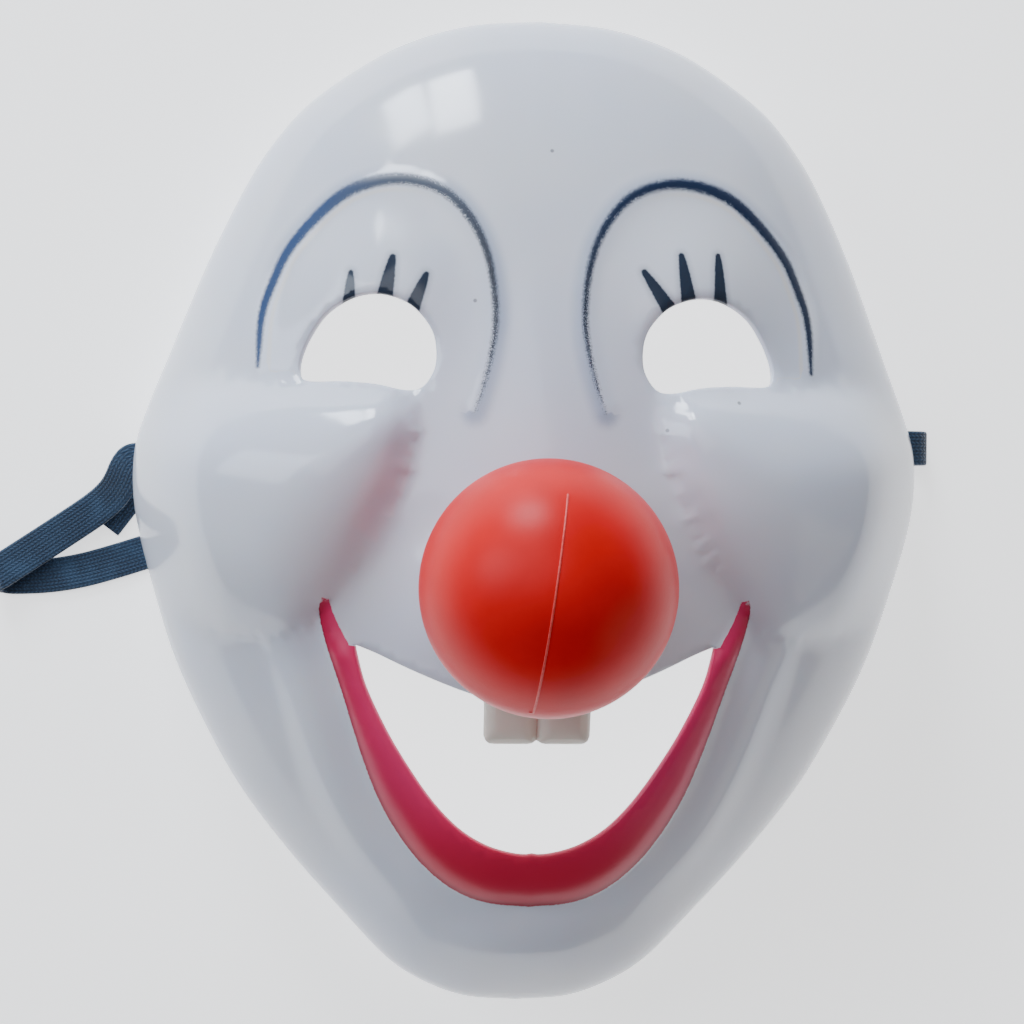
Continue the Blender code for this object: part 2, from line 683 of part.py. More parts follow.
def make_face_shell(parts, cutters):
    """The face as half a surface, mirrored, given its wall, then cut by the table and the strap slots."""
    flat, triangles, rim = half_plan()
    plan = roll_up(flat)
    plan[np.abs(plan[:, 0]) < 1e-6, 0] = 0.0
    levels = height(plan)

    mesh = bpy.data.meshes.new("face_shell")
    bm = bmesh.new()
    verts = [bm.verts.new((x, y, z)) for (x, y), z in zip(plan, levels)]
    for a, b, c in triangles:
        bm.faces.new((verts[a], verts[b], verts[c]))
    bmesh.ops.delete(bm, geom=[v for v in bm.verts if not v.link_faces], context="VERTS")

    finder = KDTree(len(bm.verts))
    for index, vert in enumerate(bm.verts):
        finder.insert((vert.co.x, vert.co.y, 0.0), index)
    finder.balance()
    bm.verts.ensure_lookup_table()
    edge = [bm.verts[finder.find((x, y, 0.0))[1]] for x, y in roll_up(rim)]
    ring = edge
    for step in range(1, SKIRT_ROWS + 1):
        share = step / SKIRT_ROWS
        lower = []
        for top in edge:
            lift = rim_lift(top.co.y)
            foot = lift - 0.5 * WALL * (1.0 - ease(lift / (0.5 * BAY_LIFT)))
            lower.append(bm.verts.new((top.co.x, top.co.y, top.co.z + (foot - top.co.z) * share)))
        for i in range(len(ring) - 1):
            bm.faces.new((ring[i], ring[i + 1], lower[i + 1], lower[i]))
        ring = lower
    bmesh.ops.recalc_face_normals(bm, faces=bm.faces)
    if max(bm.faces, key=lambda f: f.calc_center_median().z).normal.z < 0:
        bmesh.ops.reverse_faces(bm, faces=bm.faces)
    bm.to_mesh(mesh)
    bm.free()

    shell = new_object("face_shell", mesh, parts, new_material("white plastic", (0.80, 0.82, 0.86), 0.16))
    mirror = shell.modifiers.new("other half", "MIRROR")
    mirror.use_axis = (True, False, False)
    mirror.merge_threshold = 0.00005
    wall = shell.modifiers.new("wall", "SOLIDIFY")
    wall.thickness = WALL
    wall.offset = -1.0
    wall.use_even_offset = True
    wall.use_quality_normals = True

    reach = 0.6 * MASK_HEIGHT
    cut(shell, box_cutter("table", (-reach, -reach, -0.02), (reach, reach, 0.0), cutters))
    foot = BAY_LIFT + STRIP
    for side, sign in (("left", -1), ("right", 1)):
        across = sorted((sign * 0.85 * HALF_WIDTH, sign * 1.15 * HALF_WIDTH))
        low = (across[0], SLOT_Y - SLOT_LENGTH / 2, foot)
        high = (across[1], SLOT_Y + SLOT_LENGTH / 2, foot + SLOT_HEIGHT)
        cut(shell, box_cutter(f"slot {side}", low, high, cutters))
    return shell


def make_nose_ball(parts, cutters):
    """A ball with a flat where it is glued to its seat."""
    depth = math.sqrt(NOSE_RADIUS**2 - (SEAT_RADIUS - GAP) ** 2)
    middle = Vector((0.0, NOSE_Y, SEAT_LEVEL + GAP + depth))
    mesh = bpy.data.meshes.new("nose_ball")
    bm = bmesh.new()
    bmesh.ops.create_uvsphere(bm, u_segments=40, v_segments=24, radius=NOSE_RADIUS)
    bmesh.ops.translate(bm, verts=bm.verts, vec=middle)
    bm.to_mesh(mesh)
    bm.free()
    ball = new_object("nose_ball", mesh, parts, new_material("red soft plastic", (0.75, 0.01, 0.01), 0.45))
    mesh.shade_smooth()
    reach = 1.2 * NOSE_RADIUS
    low = (-reach, NOSE_Y - reach, SEAT_LEVEL - reach)
    high = (reach, NOSE_Y + reach, SEAT_LEVEL + GAP)
    cut(ball, box_cutter("nose seat", low, high, cutters))
    return ball


def rim_out(y):
    """How far out the skirt's outer face is at a place along the side."""
    side = curve_through(points_of(RIM, HALF_WIDTH, HALF_HEIGHT), 8)
    return np.interp(-y, -side[:, 1], side[:, 0])


def width_at(degrees):
    """The direction of the strap's width where the strap heads out that way and lies flat."""
    turn = math.radians(degrees)
    return np.array((-math.sin(turn), math.cos(turn), 0.0))


def strap_stations():
    """Places along the middle of the strap, each with the direction of its width."""
    lie = STRAP_LIE + STRAP_THICK / 2
    slot = BAY_LIFT + STRIP + SLOT_HEIGHT / 2
    bend = (slot - lie) / 2
    wall = rim_out(SLOT_Y)
    stations = [(np.array((-wall - row.out, row.along, lie + row.up * (slot - lie))), width_at(row.facing))
                for row in STRAP_TAIL]
    for turn in np.linspace(0.0, math.pi, 7):
        place = (LOOP_IN - wall + WALL + bend * math.sin(turn), LEFT_Y, lie + bend * (1.0 - math.cos(turn)))
        stations.append((np.array(place), width_at(LEFT_FACING)))
    stations += [(np.array((-wall - row.out, row.along, lie + row.up * (slot - lie))), width_at(row.facing))
                 for row in STRAP_STRAND]

    # the fold rolls over a line that lies half way between the two headings
    heading_in, heading_out = STRAP_STRAND[-1].facing, FOLD_HEADING
    middle = (heading_in + heading_out + 180.0) / 2
    outward = -width_at(middle)[[1, 0, 2]] * (-1.0, 1.0, 1.0)
    axis = width_at(middle)
    lean = math.sin(math.radians(heading_in - middle))
    start = stations[-1][0]
    roll = (start[2] - lie) / 2
    for turn in np.linspace(0.0, math.pi, 9)[1:]:
        ahead = math.cos(turn) * outward + (0.0, 0.0, -math.sin(turn))
        normal = math.sin(turn) * outward + (0.0, 0.0, math.cos(turn))
        along = lean * axis + math.cos(math.radians(heading_in - middle)) * ahead
        place = start + lean * roll * turn * axis + roll * (normal - (0.0, 0.0, 1.0))
        stations.append((place, np.cross(normal, along)))
    stations += [(np.array((row.out * HALF_WIDTH, row.along, lie)), width_at(row.facing))
                 for row in STRAP_HIDDEN]

    for turn in np.linspace(0.0, math.pi, 7):
        place = (wall + LOOP_OUT + bend * math.sin(turn), RIGHT_Y, lie + bend * (1.0 - math.cos(turn)))
        stations.append((np.array(place), width_at(180.0)))
    stations += [(np.array((wall - row.out, RIGHT_Y, lie + row.up * (slot - lie))), width_at(180.0))
                 for row in STRAP_END]
    return stations


def make_strap(parts):
    """The strap as a flat band along its stations, with square ends."""
    stations = strap_stations()
    places = np.array([place for place, _ in stations])
    widths = np.array([width for _, width in stations])
    line = curve_through(places, 3)
    width = curve_through(widths, 3)
    ahead = np.gradient(line, axis=0)
    ahead /= np.linalg.norm(ahead, axis=1)[:, None]
    width -= (width * ahead).sum(axis=1)[:, None] * ahead
    width /= np.linalg.norm(width, axis=1)[:, None]
    thick = np.cross(ahead, width)
    mesh = bpy.data.meshes.new("strap")
    bm = bmesh.new()
    rings = []
    for place, across, up in zip(line, width, thick):
        corners = [(-1, -1), (1, -1), (1, 1), (-1, 1)]
        rings.append([bm.verts.new(place + a * STRAP_WIDTH / 2 * across + b * STRAP_THICK / 2 * up)
                      for a, b in corners])
    for first, second in zip(rings, rings[1:]):
        for i in range(4):
            bm.faces.new((first[i], first[(i + 1) % 4], second[(i + 1) % 4], second[i]))
    bm.faces.new(rings[0][::-1])
    bm.faces.new(rings[-1])
    bmesh.ops.recalc_face_normals(bm, faces=bm.faces)
    bm.to_mesh(mesh)
    bm.free()
    return new_object("strap", mesh, parts, new_material("navy elastic", (0.03, 0.07, 0.13), 0.75))


def main():
    remove_everything()
    parts = new_collection("clown_mask")
    cutters = new_collection("cutters")
    make_face_shell(parts, cutters)
    make_nose_ball(parts, cutters)
    make_strap(parts)


main()
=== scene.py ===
# %% [markdown]
# # A clown mask, dressed for the camera
# #
# The mask is a thin moulded face of gloss white plastic with a glued-on red ball for a nose and a flat
# elastic strap. It lies on a table with the face up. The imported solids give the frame, and this lesson gives
# each of them its real surface: a finely faceted face with its paint, a soft plastic ball and a woven strap.

# %% Load the frame
import math
from collections import namedtuple

import bmesh
import bpy
import numpy as np
from mathutils import Matrix, Vector
from mathutils.geometry import delaunay_2d_cdt
from mathutils.kdtree import KDTree


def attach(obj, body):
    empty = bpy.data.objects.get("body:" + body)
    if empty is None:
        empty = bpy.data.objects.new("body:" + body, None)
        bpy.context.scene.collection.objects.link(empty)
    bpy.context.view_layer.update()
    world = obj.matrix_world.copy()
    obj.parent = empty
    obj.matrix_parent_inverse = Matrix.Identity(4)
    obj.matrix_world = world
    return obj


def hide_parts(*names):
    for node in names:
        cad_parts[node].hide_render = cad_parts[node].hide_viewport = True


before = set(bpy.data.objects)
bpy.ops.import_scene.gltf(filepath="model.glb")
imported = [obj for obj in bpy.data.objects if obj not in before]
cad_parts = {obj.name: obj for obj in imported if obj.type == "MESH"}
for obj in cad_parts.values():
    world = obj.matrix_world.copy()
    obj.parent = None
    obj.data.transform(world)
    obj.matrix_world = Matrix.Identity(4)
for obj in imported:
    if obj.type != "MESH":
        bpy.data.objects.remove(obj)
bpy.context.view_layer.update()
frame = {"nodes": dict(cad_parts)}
print("solids:", ", ".join(frame["nodes"]))

# %% [markdown]
# The camera looks straight down at the face from a little to its left, 46 cm over the table, as the one that
# took the picture did. A camera looks along its own -Z, so its matrix is built from three directions: right,
# up and backwards.

# %% Camera
CAMERA_PLACE = Vector((-0.0280, 0.0, 0.4620))
CAMERA_AIM = Vector((-0.0027, -0.0001, 0.0))
VIEW_ANGLE = math.radians(29.28)
ROLL = math.radians(-0.6)


def look(eye, aim, upward, roll=0.0):
    """The matrix of a camera or light at eye that faces aim."""
    ahead = (aim - eye).normalized()
    right = ahead.cross(upward).normalized()
    up = right.cross(ahead)
    turned_right = right * math.cos(roll) - up * math.sin(roll)
    turned_up = right * math.sin(roll) + up * math.cos(roll)
    matrix = Matrix((turned_right, turned_up, -ahead)).transposed().to_4x4()
    matrix.translation = eye
    return matrix


camera_data = bpy.data.cameras.new("camera")
camera_data.angle = VIEW_ANGLE
camera_data.clip_start = 0.01
camera = bpy.data.objects.new("camera", camera_data)
camera.matrix_world = look(CAMERA_PLACE, CAMERA_AIM, Vector((0, 1, 0)), ROLL)
bpy.context.scene.collection.objects.link(camera)
bpy.context.scene.camera = camera
print("camera", [round(v, 3) for v in camera.matrix_world.translation])

# %% [markdown]
# A material is a small net of nodes. These helpers keep the nets short: each adds one node, sets or joins its
# inputs and gives back its output, so that a pattern reads like a sum.

# %% Helpers for materials
class Finish:
    """A material and short ways to add nodes to it."""

    def __init__(self, name):
        self.material = bpy.data.materials.new(name)
        self.material.use_nodes = True
        self.tree = self.material.node_tree
        self.shader = self.tree.nodes["Principled BSDF"]

    def node(self, kind, **settings):
        made = self.tree.nodes.new(kind)
        for key, setting in settings.items():
            setattr(made, key, setting)
        return made

    def fill(self, socket, given):
        """Joins an output to a socket, or sets the socket's own value."""
        if isinstance(given, bpy.types.NodeSocket):
            self.tree.links.new(given, socket)
        elif given is not None:
            socket.default_value = given

    def math(self, operation, a, b=None, clamp=False):
        made = self.node("ShaderNodeMath", operation=operation, use_clamp=clamp)
        self.fill(made.inputs[0], a)
        self.fill(made.inputs[1], b)
        return made.outputs[0]

    def vector(self, operation, a, b=None):
        made = self.node("ShaderNodeVectorMath", operation=operation)
        self.fill(made.inputs[0], a)
        self.fill(made.inputs[1], b)
        return made.outputs["Value" if operation in ("LENGTH", "DISTANCE", "DOT_PRODUCT") else "Vector"]

    def step(self, given, low, high, start=0.0, end=1.0):
        """Goes smoothly from start to end while given goes from low to high."""
        made = self.node("ShaderNodeMapRange", interpolation_type="SMOOTHSTEP")
        for socket, number in zip(made.inputs, (given, low, high, start, end)):
            self.fill(socket, number)
        return made.outputs[0]

    def noise(self, place, scale, detail=2.0, roughness=0.5):
        made = self.node("ShaderNodeTexNoise")
        self.fill(made.inputs["Vector"], place)
        made.inputs["Scale"].default_value = scale
        made.inputs["Detail"].default_value = detail
        made.inputs["Roughness"].default_value = roughness
        return made.outputs["Fac"]

    def paint(self, amount, under, over):
        """Lays the colour over on the colour under, as thickly as amount says."""
        made = self.node("ShaderNodeMix", data_type="RGBA")
        self.fill(made.inputs[0], amount)
        for socket, colour in ((made.inputs[6], under), (made.inputs[7], over)):
            self.fill(socket, (*colour, 1.0) if isinstance(colour, tuple) else colour)
        return made.outputs[2]

    def shaken(self, given, noise, amount):
        """The number given, moved up and down a little by a noise."""
        return self.math("ADD", given, self.math("MULTIPLY", self.math("SUBTRACT", noise, 0.5), amount))

    def place(self):
        return self.node("ShaderNodeTexCoord").outputs["Object"]

    def field(self, name):
        """A number that the mesh holds at each of its points."""
        return self.node("ShaderNodeAttribute", attribute_name=name).outputs["Fac"]

    def bump(self, height, distance, strength=1.0, under=None):
        made = self.node("ShaderNodeBump")
        made.inputs["Strength"].default_value = strength
        made.inputs["Distance"].default_value = distance
        self.fill(made.inputs["Height"], height)
        self.fill(made.inputs["Normal"], under)
        return made.outputs["Normal"]

    def set(self, **given):
        """Sets the shader's inputs; an underscore stands for a space."""
        for name, number in given.items():
            self.fill(self.shader.inputs[name.replace("_", " ")], number)


def new_piece(name, mesh, *finishes):
    piece = bpy.data.objects.new(name, mesh)
    bpy.context.scene.collection.objects.link(piece)
    for finish in finishes:
        mesh.materials.append(finish.material)
    return piece

# %% [markdown]
# The same three functions draw every line of the mask: a smooth step, a round hill and a Catmull-Rom curve
# through a few listed points. The tables hold shares of named sizes, so a size can change without the
# table.

# %% Curves
Row = namedtuple("Row", "out up")


def ease(value):
    """A smooth step from 0 to 1 as value goes from 0 to 1."""
    t = np.clip(value, 0.0, 1.0)
    return t * t * (3.0 - 2.0 * t)


def swell(distance):
    """A round hill: 1 in its middle, 0 from a distance of 1 outwards."""
    return 0.5 + 0.5 * np.cos(math.pi * np.clip(np.abs(distance), 0.0, 1.0))


def points_of(rows, width, height, x=0.0, y=0.0):
    """A table's rows as points, with its shares turned into lengths."""
    return np.array([(x + row.out * width, y + row.up * height) for row in rows])


def curve_through(points, steps, closed=False):
    """A Catmull-Rom curve through the points, with steps pieces between each two of them."""
    if closed:
        padded = np.vstack([points[-1], points, points[:2]])
    else:
        padded = np.vstack([2 * points[0] - points[1], points, 2 * points[-1] - points[-2]])
    t = np.arange(steps)[:, None] / steps
    spans = []
    for a, b, c, d in zip(padded, padded[1:], padded[2:], padded[3:]):
        spans.append(b + 0.5 * t * (c - a + t * (2 * a - 5 * b + 4 * c - d + t * (3 * (b - c) + d - a))))
    curve = np.vstack(spans)
    return curve if closed else np.vstack([curve, points[-1:]])

# %% [markdown]
# The strap is a flat band of elastic, 8 mm wide. Its tail starts under the left side, goes in below the rim,
# up behind the wall and out of the left slot. From there it runs down to the table, folds back under the
# face, crosses to the right side, loops up round the rim and ends inside. A band keeps its width level with
# what it lies on, so each place on the route has a heading too. These are the places that the solid strap
# has.

# %% Strap route
MASK_WIDTH = 0.1804
MASK_HEIGHT = 0.2234
WALL = 0.0016
BAY_LIFT = 0.0024
STRIP = 0.0034          # the strip of wall that is left under a slot
SLOT_Y = 0.0125
SLOT_LENGTH = 0.0160
SLOT_HEIGHT = 0.0028

STRAP_WIDTH = 0.0080
STRAP_THICK = 0.0010
STRAP_LIE = 0.0003      # air under the strap where it lies on the table
LEFT_Y = 0.0110         # where the strap goes through the left slot
RIGHT_Y = 0.0159        # and the right slot
LEFT_FACING = 188.0     # which way the strap heads out of the left slot, in degrees from +X
LOOP_IN = 0.0016        # from the inside of the wall to the middle of the bend behind it
LOOP_OUT = 0.0016       # from the outside of the wall to the middle of the bend before it
FOLD_HEADING = 4.0      # which way the strap comes back from the fold at the far left


HALF_HEIGHT = MASK_HEIGHT / 2
HALF_WIDTH = MASK_WIDTH / 2


RIM = [
    Row(0.000, 1.000),
    Row(0.170, 0.989),
    Row(0.311, 0.957),
    Row(0.430, 0.909),
    Row(0.573, 0.826),
    Row(0.667, 0.739),
    Row(0.733, 0.652),
    Row(0.811, 0.522),
    Row(0.877, 0.391),
    Row(0.918, 0.304),
    Row(0.960, 0.217),
    Row(0.993, 0.130),
    Row(0.997, 0.043),
    Row(0.981, -0.043),
    Row(0.936, -0.174),
    Row(0.882, -0.304),
    Row(0.805, -0.435),
    Row(0.711, -0.565),
    Row(0.584, -0.696),
    Row(0.436, -0.826),
    Row(0.330, -0.913),
    Row(0.240, -0.960),
    Row(0.130, -0.992),
    Row(0.000, -1.000),
]

# %% Strap stations
Station = namedtuple("Station", "out along up facing")


STRAP_TAIL = [
    Station(0.0079, -0.0042, 0.06, 233.0),
    Station(0.0049, -0.0002, 0.04, 233.0),
    Station(0.0019, 0.0038, 0.01, 229.0),
    Station(-0.0008, 0.0080, 0.00, 212.0),
    Station(-0.0022, 0.0101, 0.00, 196.0),
]


STRAP_STRAND = [
    Station(-0.0008, 0.0110, 1.00, 188.0),
    Station(0.0010, 0.0106, 1.00, 196.0),
    Station(0.0024, 0.0088, 0.94, 214.0),
    Station(0.0038, 0.0058, 0.80, 226.0),
    Station(0.0060, 0.0028, 0.56, 222.0),
    Station(0.0100, -0.0006, 0.36, 215.0),
    Station(0.0180, -0.0061, 0.30, 214.0),
    Station(0.0260, -0.0115, 0.38, 214.0),
    Station(0.0312, -0.0150, 0.45, 214.0),
]


STRAP_HIDDEN = [
    Station(-1.310, -0.0164, 0.0, 186.0),
    Station(-1.225, -0.0160, 0.0, 190.0),
    Station(-1.140, -0.0147, 0.0, 194.0),
    Station(-1.050, -0.0124, 0.0, 197.0),
    Station(-0.960, -0.0098, 0.0, 197.0),
    Station(-0.800, -0.0055, 0.0, 196.0),
    Station(-0.550, 0.0004, 0.0, 192.0),
    Station(-0.250, 0.0056, 0.0, 189.0),
    Station(0.100, 0.0100, 0.0, 187.0),
    Station(0.450, 0.0134, 0.0, 185.0),
    Station(0.750, 0.0154, 0.0, 182.0),
    Station(0.920, 0.0159, 0.0, 180.0),
]


STRAP_END = [
    Station(0.0010, 0.0, 1.00, 180.0),
    Station(0.0030, 0.0, 0.97, 180.0),
    Station(0.0055, 0.0, 0.75, 180.0),
    Station(0.0085, 0.0, 0.42, 180.0),
    Station(0.0120, 0.0, 0.24, 180.0),
    Station(0.0180, 0.0, 0.21, 180.0),
]

# %% Places along the strap
def rim_out(y):
    """How far out the skirt's outer face is at a place along the side."""
    side = curve_through(points_of(RIM, HALF_WIDTH, HALF_HEIGHT), 8)
    return np.interp(-y, -side[:, 1], side[:, 0])


def width_at(degrees):
    """The direction of the strap's width where the strap heads out that way and lies flat."""
    turn = math.radians(degrees)
    return np.array((-math.sin(turn), math.cos(turn), 0.0))


def strap_stations():
    """Places along the middle of the strap, each with the direction of its width."""
    lie = STRAP_LIE + STRAP_THICK / 2
    slot = BAY_LIFT + STRIP + SLOT_HEIGHT / 2
    bend = (slot - lie) / 2
    wall = rim_out(SLOT_Y)

    def at_left(rows):
        return [(np.array((-wall - row.out, row.along, lie + row.up * (slot - lie))), width_at(row.facing))
                for row in rows]

    stations = at_left(STRAP_TAIL)
    for turn in np.linspace(0.0, math.pi, 7):
        place = (LOOP_IN - wall + WALL + bend * math.sin(turn), LEFT_Y, lie + bend * (1.0 - math.cos(turn)))
        stations.append((np.array(place), width_at(LEFT_FACING)))
    stations += at_left(STRAP_STRAND)

    # the fold rolls over a line that lies half way between the two headings
    heading_in, heading_out = STRAP_STRAND[-1].facing, FOLD_HEADING
    middle = (heading_in + heading_out + 180.0) / 2
    outward = -width_at(middle)[[1, 0, 2]] * (-1.0, 1.0, 1.0)
    axis = width_at(middle)
    lean = math.sin(math.radians(heading_in - middle))
    start = stations[-1][0]
    roll = (start[2] - lie) / 2
    for turn in np.linspace(0.0, math.pi, 9)[1:]:
        ahead = math.cos(turn) * outward + (0.0, 0.0, -math.sin(turn))
        normal = math.sin(turn) * outward + (0.0, 0.0, math.cos(turn))
        along = lean * axis + math.cos(math.radians(heading_in - middle)) * ahead
        place = start + lean * roll * turn * axis + roll * (normal - (0.0, 0.0, 1.0))
        stations.append((place, np.cross(normal, along)))
    stations += [(np.array((row.out * HALF_WIDTH, row.along, lie)), width_at(row.facing))
                 for row in STRAP_HIDDEN]

    for turn in np.linspace(0.0, math.pi, 7):
        place = (wall + LOOP_OUT + bend * math.sin(turn), RIGHT_Y, lie + bend * (1.0 - math.cos(turn)))
        stations.append((np.array(place), width_at(180.0)))
    stations += [(np.array((wall - row.out, RIGHT_Y, lie + row.up * (slot - lie))), width_at(180.0))
                 for row in STRAP_END]
    return stations

# %% [markdown]
# The elastic is one closed band: at each step along the route a ring of points goes round its section, which
# is flat with rounded edges. The UV map runs along and across the band in millimetres, so the weave keeps its
# size round every bend.

# %% Strap mesh
STRAP_STEPS = 9
EDGE_POINTS = 5


def band_section():
    """The band's outline across its width, as shares of half the width and half the thickness."""
    turn = np.linspace(-math.pi / 2, math.pi / 2, EDGE_POINTS)
    soft = STRAP_THICK / STRAP_WIDTH
    right = np.column_stack([1.0 - soft + soft * np.cos(turn), np.sin(turn)])
    across = np.linspace(1.0 - soft, -1.0 + soft, 9)[1:-1]
    top = np.column_stack([across, np.ones(len(across))])
    return np.vstack([right, top, -right, -top])


def band_mesh():
    stations = strap_stations()
    line = curve_through(np.array([place for place, _ in stations]), STRAP_STEPS)
    width = curve_through(np.array([width for _, width in stations]), STRAP_STEPS)
    ahead = np.gradient(line, axis=0)
    ahead /= np.linalg.norm(ahead, axis=1)[:, None]
    width -= (width * ahead).sum(axis=1)[:, None] * ahead
    width /= np.linalg.norm(width, axis=1)[:, None]
    thick = np.cross(ahead, width)
    section = band_section()
    count = len(section)
    rings = (line[:, None, :] + section[None, :, :1] * width[:, None, :] * STRAP_WIDTH / 2
             + section[None, :, 1:] * thick[:, None, :] * STRAP_THICK / 2)
    faces = [(i * count + j, i * count + (j + 1) % count,
              (i + 1) * count + (j + 1) % count, (i + 1) * count + j)
             for i in range(len(line) - 1) for j in range(count)]
    last = (len(line) - 1) * count
    faces += [tuple(range(count))[::-1], tuple(range(last, last + count))]
    mesh = bpy.data.meshes.new("elastic_strap")
    mesh.from_pydata(rings.reshape(-1, 3).tolist(), [], faces)
    run = np.concatenate([[0.0], np.cumsum(np.linalg.norm(np.diff(line, axis=0), axis=1))])
    uv = mesh.uv_layers.new(name="along and across")
    places = np.column_stack([np.repeat(run, count), np.tile(section[:, 0] * STRAP_WIDTH / 2, len(run))])
    corners = np.zeros(len(mesh.loops), int)
    mesh.loops.foreach_get("vertex_index", corners)
    uv.data.foreach_set("uv", (places[corners] * 1000.0).ravel())
    tidy = bmesh.new()
    tidy.from_mesh(mesh)
    bmesh.ops.recalc_face_normals(tidy, faces=tidy.faces)
    tidy.to_mesh(mesh)
    tidy.free()
    mesh.shade_smooth()
    mesh.set_sharp_from_angle(angle=math.radians(70))
    return mesh, line


strap_mesh, strap_line = band_mesh()

# %% [markdown]
# Flat elastic is knitted: thin rubber cores run along it under rows of stitches that slant left and right in
# turn. Waves along the two UV directions give the rows, their product gives the small stitch heads, and a
# noise makes some of them fuzzier and paler, as worn yarn is.

# %% Elastic finish
def elastic():
    finish = Finish("navy elastic")
    uv = finish.node("ShaderNodeUVMap", uv_map="along and across").outputs["UV"]
    parts = finish.node("ShaderNodeSeparateXYZ")
    finish.fill(parts.inputs[0], uv)
    along, across = parts.outputs["X"], parts.outputs["Y"]
    rib = finish.math("ABSOLUTE", finish.math("SINE", finish.math("MULTIPLY", across, math.pi / 0.8)))
    slant = finish.math("MULTIPLY", finish.math("PINGPONG", across, 0.8), 0.9)
    stitch = finish.math("SINE", finish.math("MULTIPLY", finish.math("ADD", along, slant), 2 * math.pi / 0.9))
    stitch = finish.math("MULTIPLY_ADD", stitch, 0.5)
    finish.fill(stitch.node.inputs[2], 0.5)
    knit = finish.math("MULTIPLY", rib, finish.math("ADD", finish.math("MULTIPLY", stitch, 0.7), 0.3))
    fuzz = finish.noise(uv, 3.0, detail=5.0, roughness=0.7)
    patch = finish.noise(uv, 0.12, detail=2.0)
    # The knit is painted darker where it is low: painted shade in the hollows between the stitch rows and
    # heads.
    colour = finish.paint(knit, (0.006, 0.016, 0.036), (0.022, 0.062, 0.128))
    colour = finish.paint(finish.step(patch, 0.40, 0.75, 0.0, 0.45), colour, (0.040, 0.098, 0.185))
    colour = finish.paint(finish.step(fuzz, 0.55, 0.80, 0.0, 0.35), colour, (0.075, 0.130, 0.210))
    finish.set(Base_Color=colour, Roughness=0.82, Sheen_Weight=0.35, Sheen_Roughness=0.5)
    finish.set(Normal=finish.bump(finish.math("ADD", knit, finish.math("MULTIPLY", fuzz, 0.4)), 0.00022, 0.8))
    return finish


strap = new_piece("elastic_strap", strap_mesh, elastic())
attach(strap, "root")
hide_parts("strap")
print("strap dressed")

# %% [markdown]
# The face is one relief over a dome. Everything on it, from the cheeks to the smile, is a height that is
# added to the dome at a place on the plan. The sizes below are those of the solid face.

# %% Sizes of the face
CROWN = 0.0545          # the dome's middle, over the table
SKIRT = 0.0110          # the upright band at the sides, from the table to where the dome starts
FOREHEAD_LIFT = 0.0100  # how far the rim rises off the table at the top of the forehead
CHIN_LIFT = 0.0040
DOME_FULLNESS = 2.2     # higher is a flatter middle with steeper sides
DOME_EDGE = 0.58        # lower is a squarer shoulder

BAY_TOP = 0.0340
BAY_BOTTOM = -0.0300
BAY_EASE = 0.0120

EYE_X = 0.0363
EYE_Y = 0.0355
EYE_WIDTH = 0.0288
EYE_HEIGHT = 0.0204

LID_RISE = 0.0030
LID_X = 0.0350
LID_Y = 0.0460
LID_WIDTH = 0.0460
LID_HEIGHT = 0.0460
BROW_INNER = 0.0094
BROW_SPAN = 0.0505
BROW_BASE = 0.0205
BROW_HEIGHT = 0.0505
BROW_RISE = 0.0007
BROW_WIDTH = 0.0044

CHEEK_INNER = 0.0257
CHEEK_SPAN = 0.0653
CHEEK_REACH = 0.0275    # up and down from the level of the middle of the mask
CHEEK_RISE = 0.0105
CHEEK_ROUND = 0.0230    # how far in from its edge a cheek keeps rising
CHEEK_SOFT = 0.0070     # how slowly a cheek starts to rise above its outer side

BRIDGE_TOP = 0.0620
BRIDGE_RISE = 0.0055
BRIDGE_WIDTH = 0.0200
MUZZLE_RISE = 0.0060
MUZZLE_Y = -0.0220
MUZZLE_WIDTH = 0.0760
MUZZLE_HEIGHT = 0.0560
NOSE_Y = -0.0148
NOSE_RADIUS = 0.0253
SEAT_LEVEL = 0.0620
SEAT_RADIUS = 0.0145
SEAT_EASE = 0.0050
GAP = 0.0003            # air between pieces that touch

# %% Sizes of the mouth and the chin
MOUTH_HALF = 0.0384
MOUTH_TOP = -0.0284
MOUTH_DROP = 0.0450
TOOTH_WIDTH = 0.0114
TOOTH_BOTTOM = -0.0488
TOOTH_LEVEL = 0.0562     # the teeth's flat under their round fronts, over the table
TOOTH_LEAN = 0.0030      # how much lower that flat is at the tips of the teeth
TOOTH_RISE = 0.0020
TOOTH_ROUND = 0.0030
TOOTH_CORNER = 0.0022

LIP_HALF = 0.0458
LIP_TIP = -0.0184
LIP_DROP = 0.0670
LIP_RISE = 0.0028
LIP_CREST = 0.42        # where the lip is highest, as a share of its width in from its outer edge
LIP_BROAD = 0.0080      # the lip has its full rise from this width on
FOLD_OUT = 0.0085       # from the lip to the crest of the fold that runs beside it
FOLD_WIDTH = 0.0130
FOLD_RISE = 0.0022

CHIN_Y = -0.1000
CHIN_WIDTH = 0.0580
CHIN_HEIGHT = 0.0340
CHIN_RISE = 0.0048
JAW_X = 0.0470
JAW_Y = -0.0800
JAW_LENGTH = 0.0300
JAW_WIDTH = 0.0140
JAW_DEPTH = 0.0026
JAW_SLOPE = math.radians(-40)

# %% [markdown]
# Each outline of the face is a short table: the eye hole, the brow, the edge of a cheek, the mouth and the
# lip. Only the side where x is positive is drawn, because the face is the same on both sides.

# %% Eye, brow and cheek outlines
EYE = [
    Row(-0.09, 1.00),
    Row(0.28, 0.90),
    Row(0.64, 0.58),
    Row(0.88, 0.09),
    Row(1.00, -0.36),
    Row(0.99, -0.66),
    Row(0.86, -0.79),
    Row(0.33, -0.80),
    Row(-0.16, -0.86),
    Row(-0.58, -0.99),
    Row(-0.81, -0.93),
    Row(-0.98, -0.56),
    Row(-1.00, -0.10),
    Row(-0.92, 0.30),
    Row(-0.69, 0.70),
    Row(-0.42, 0.91),
]


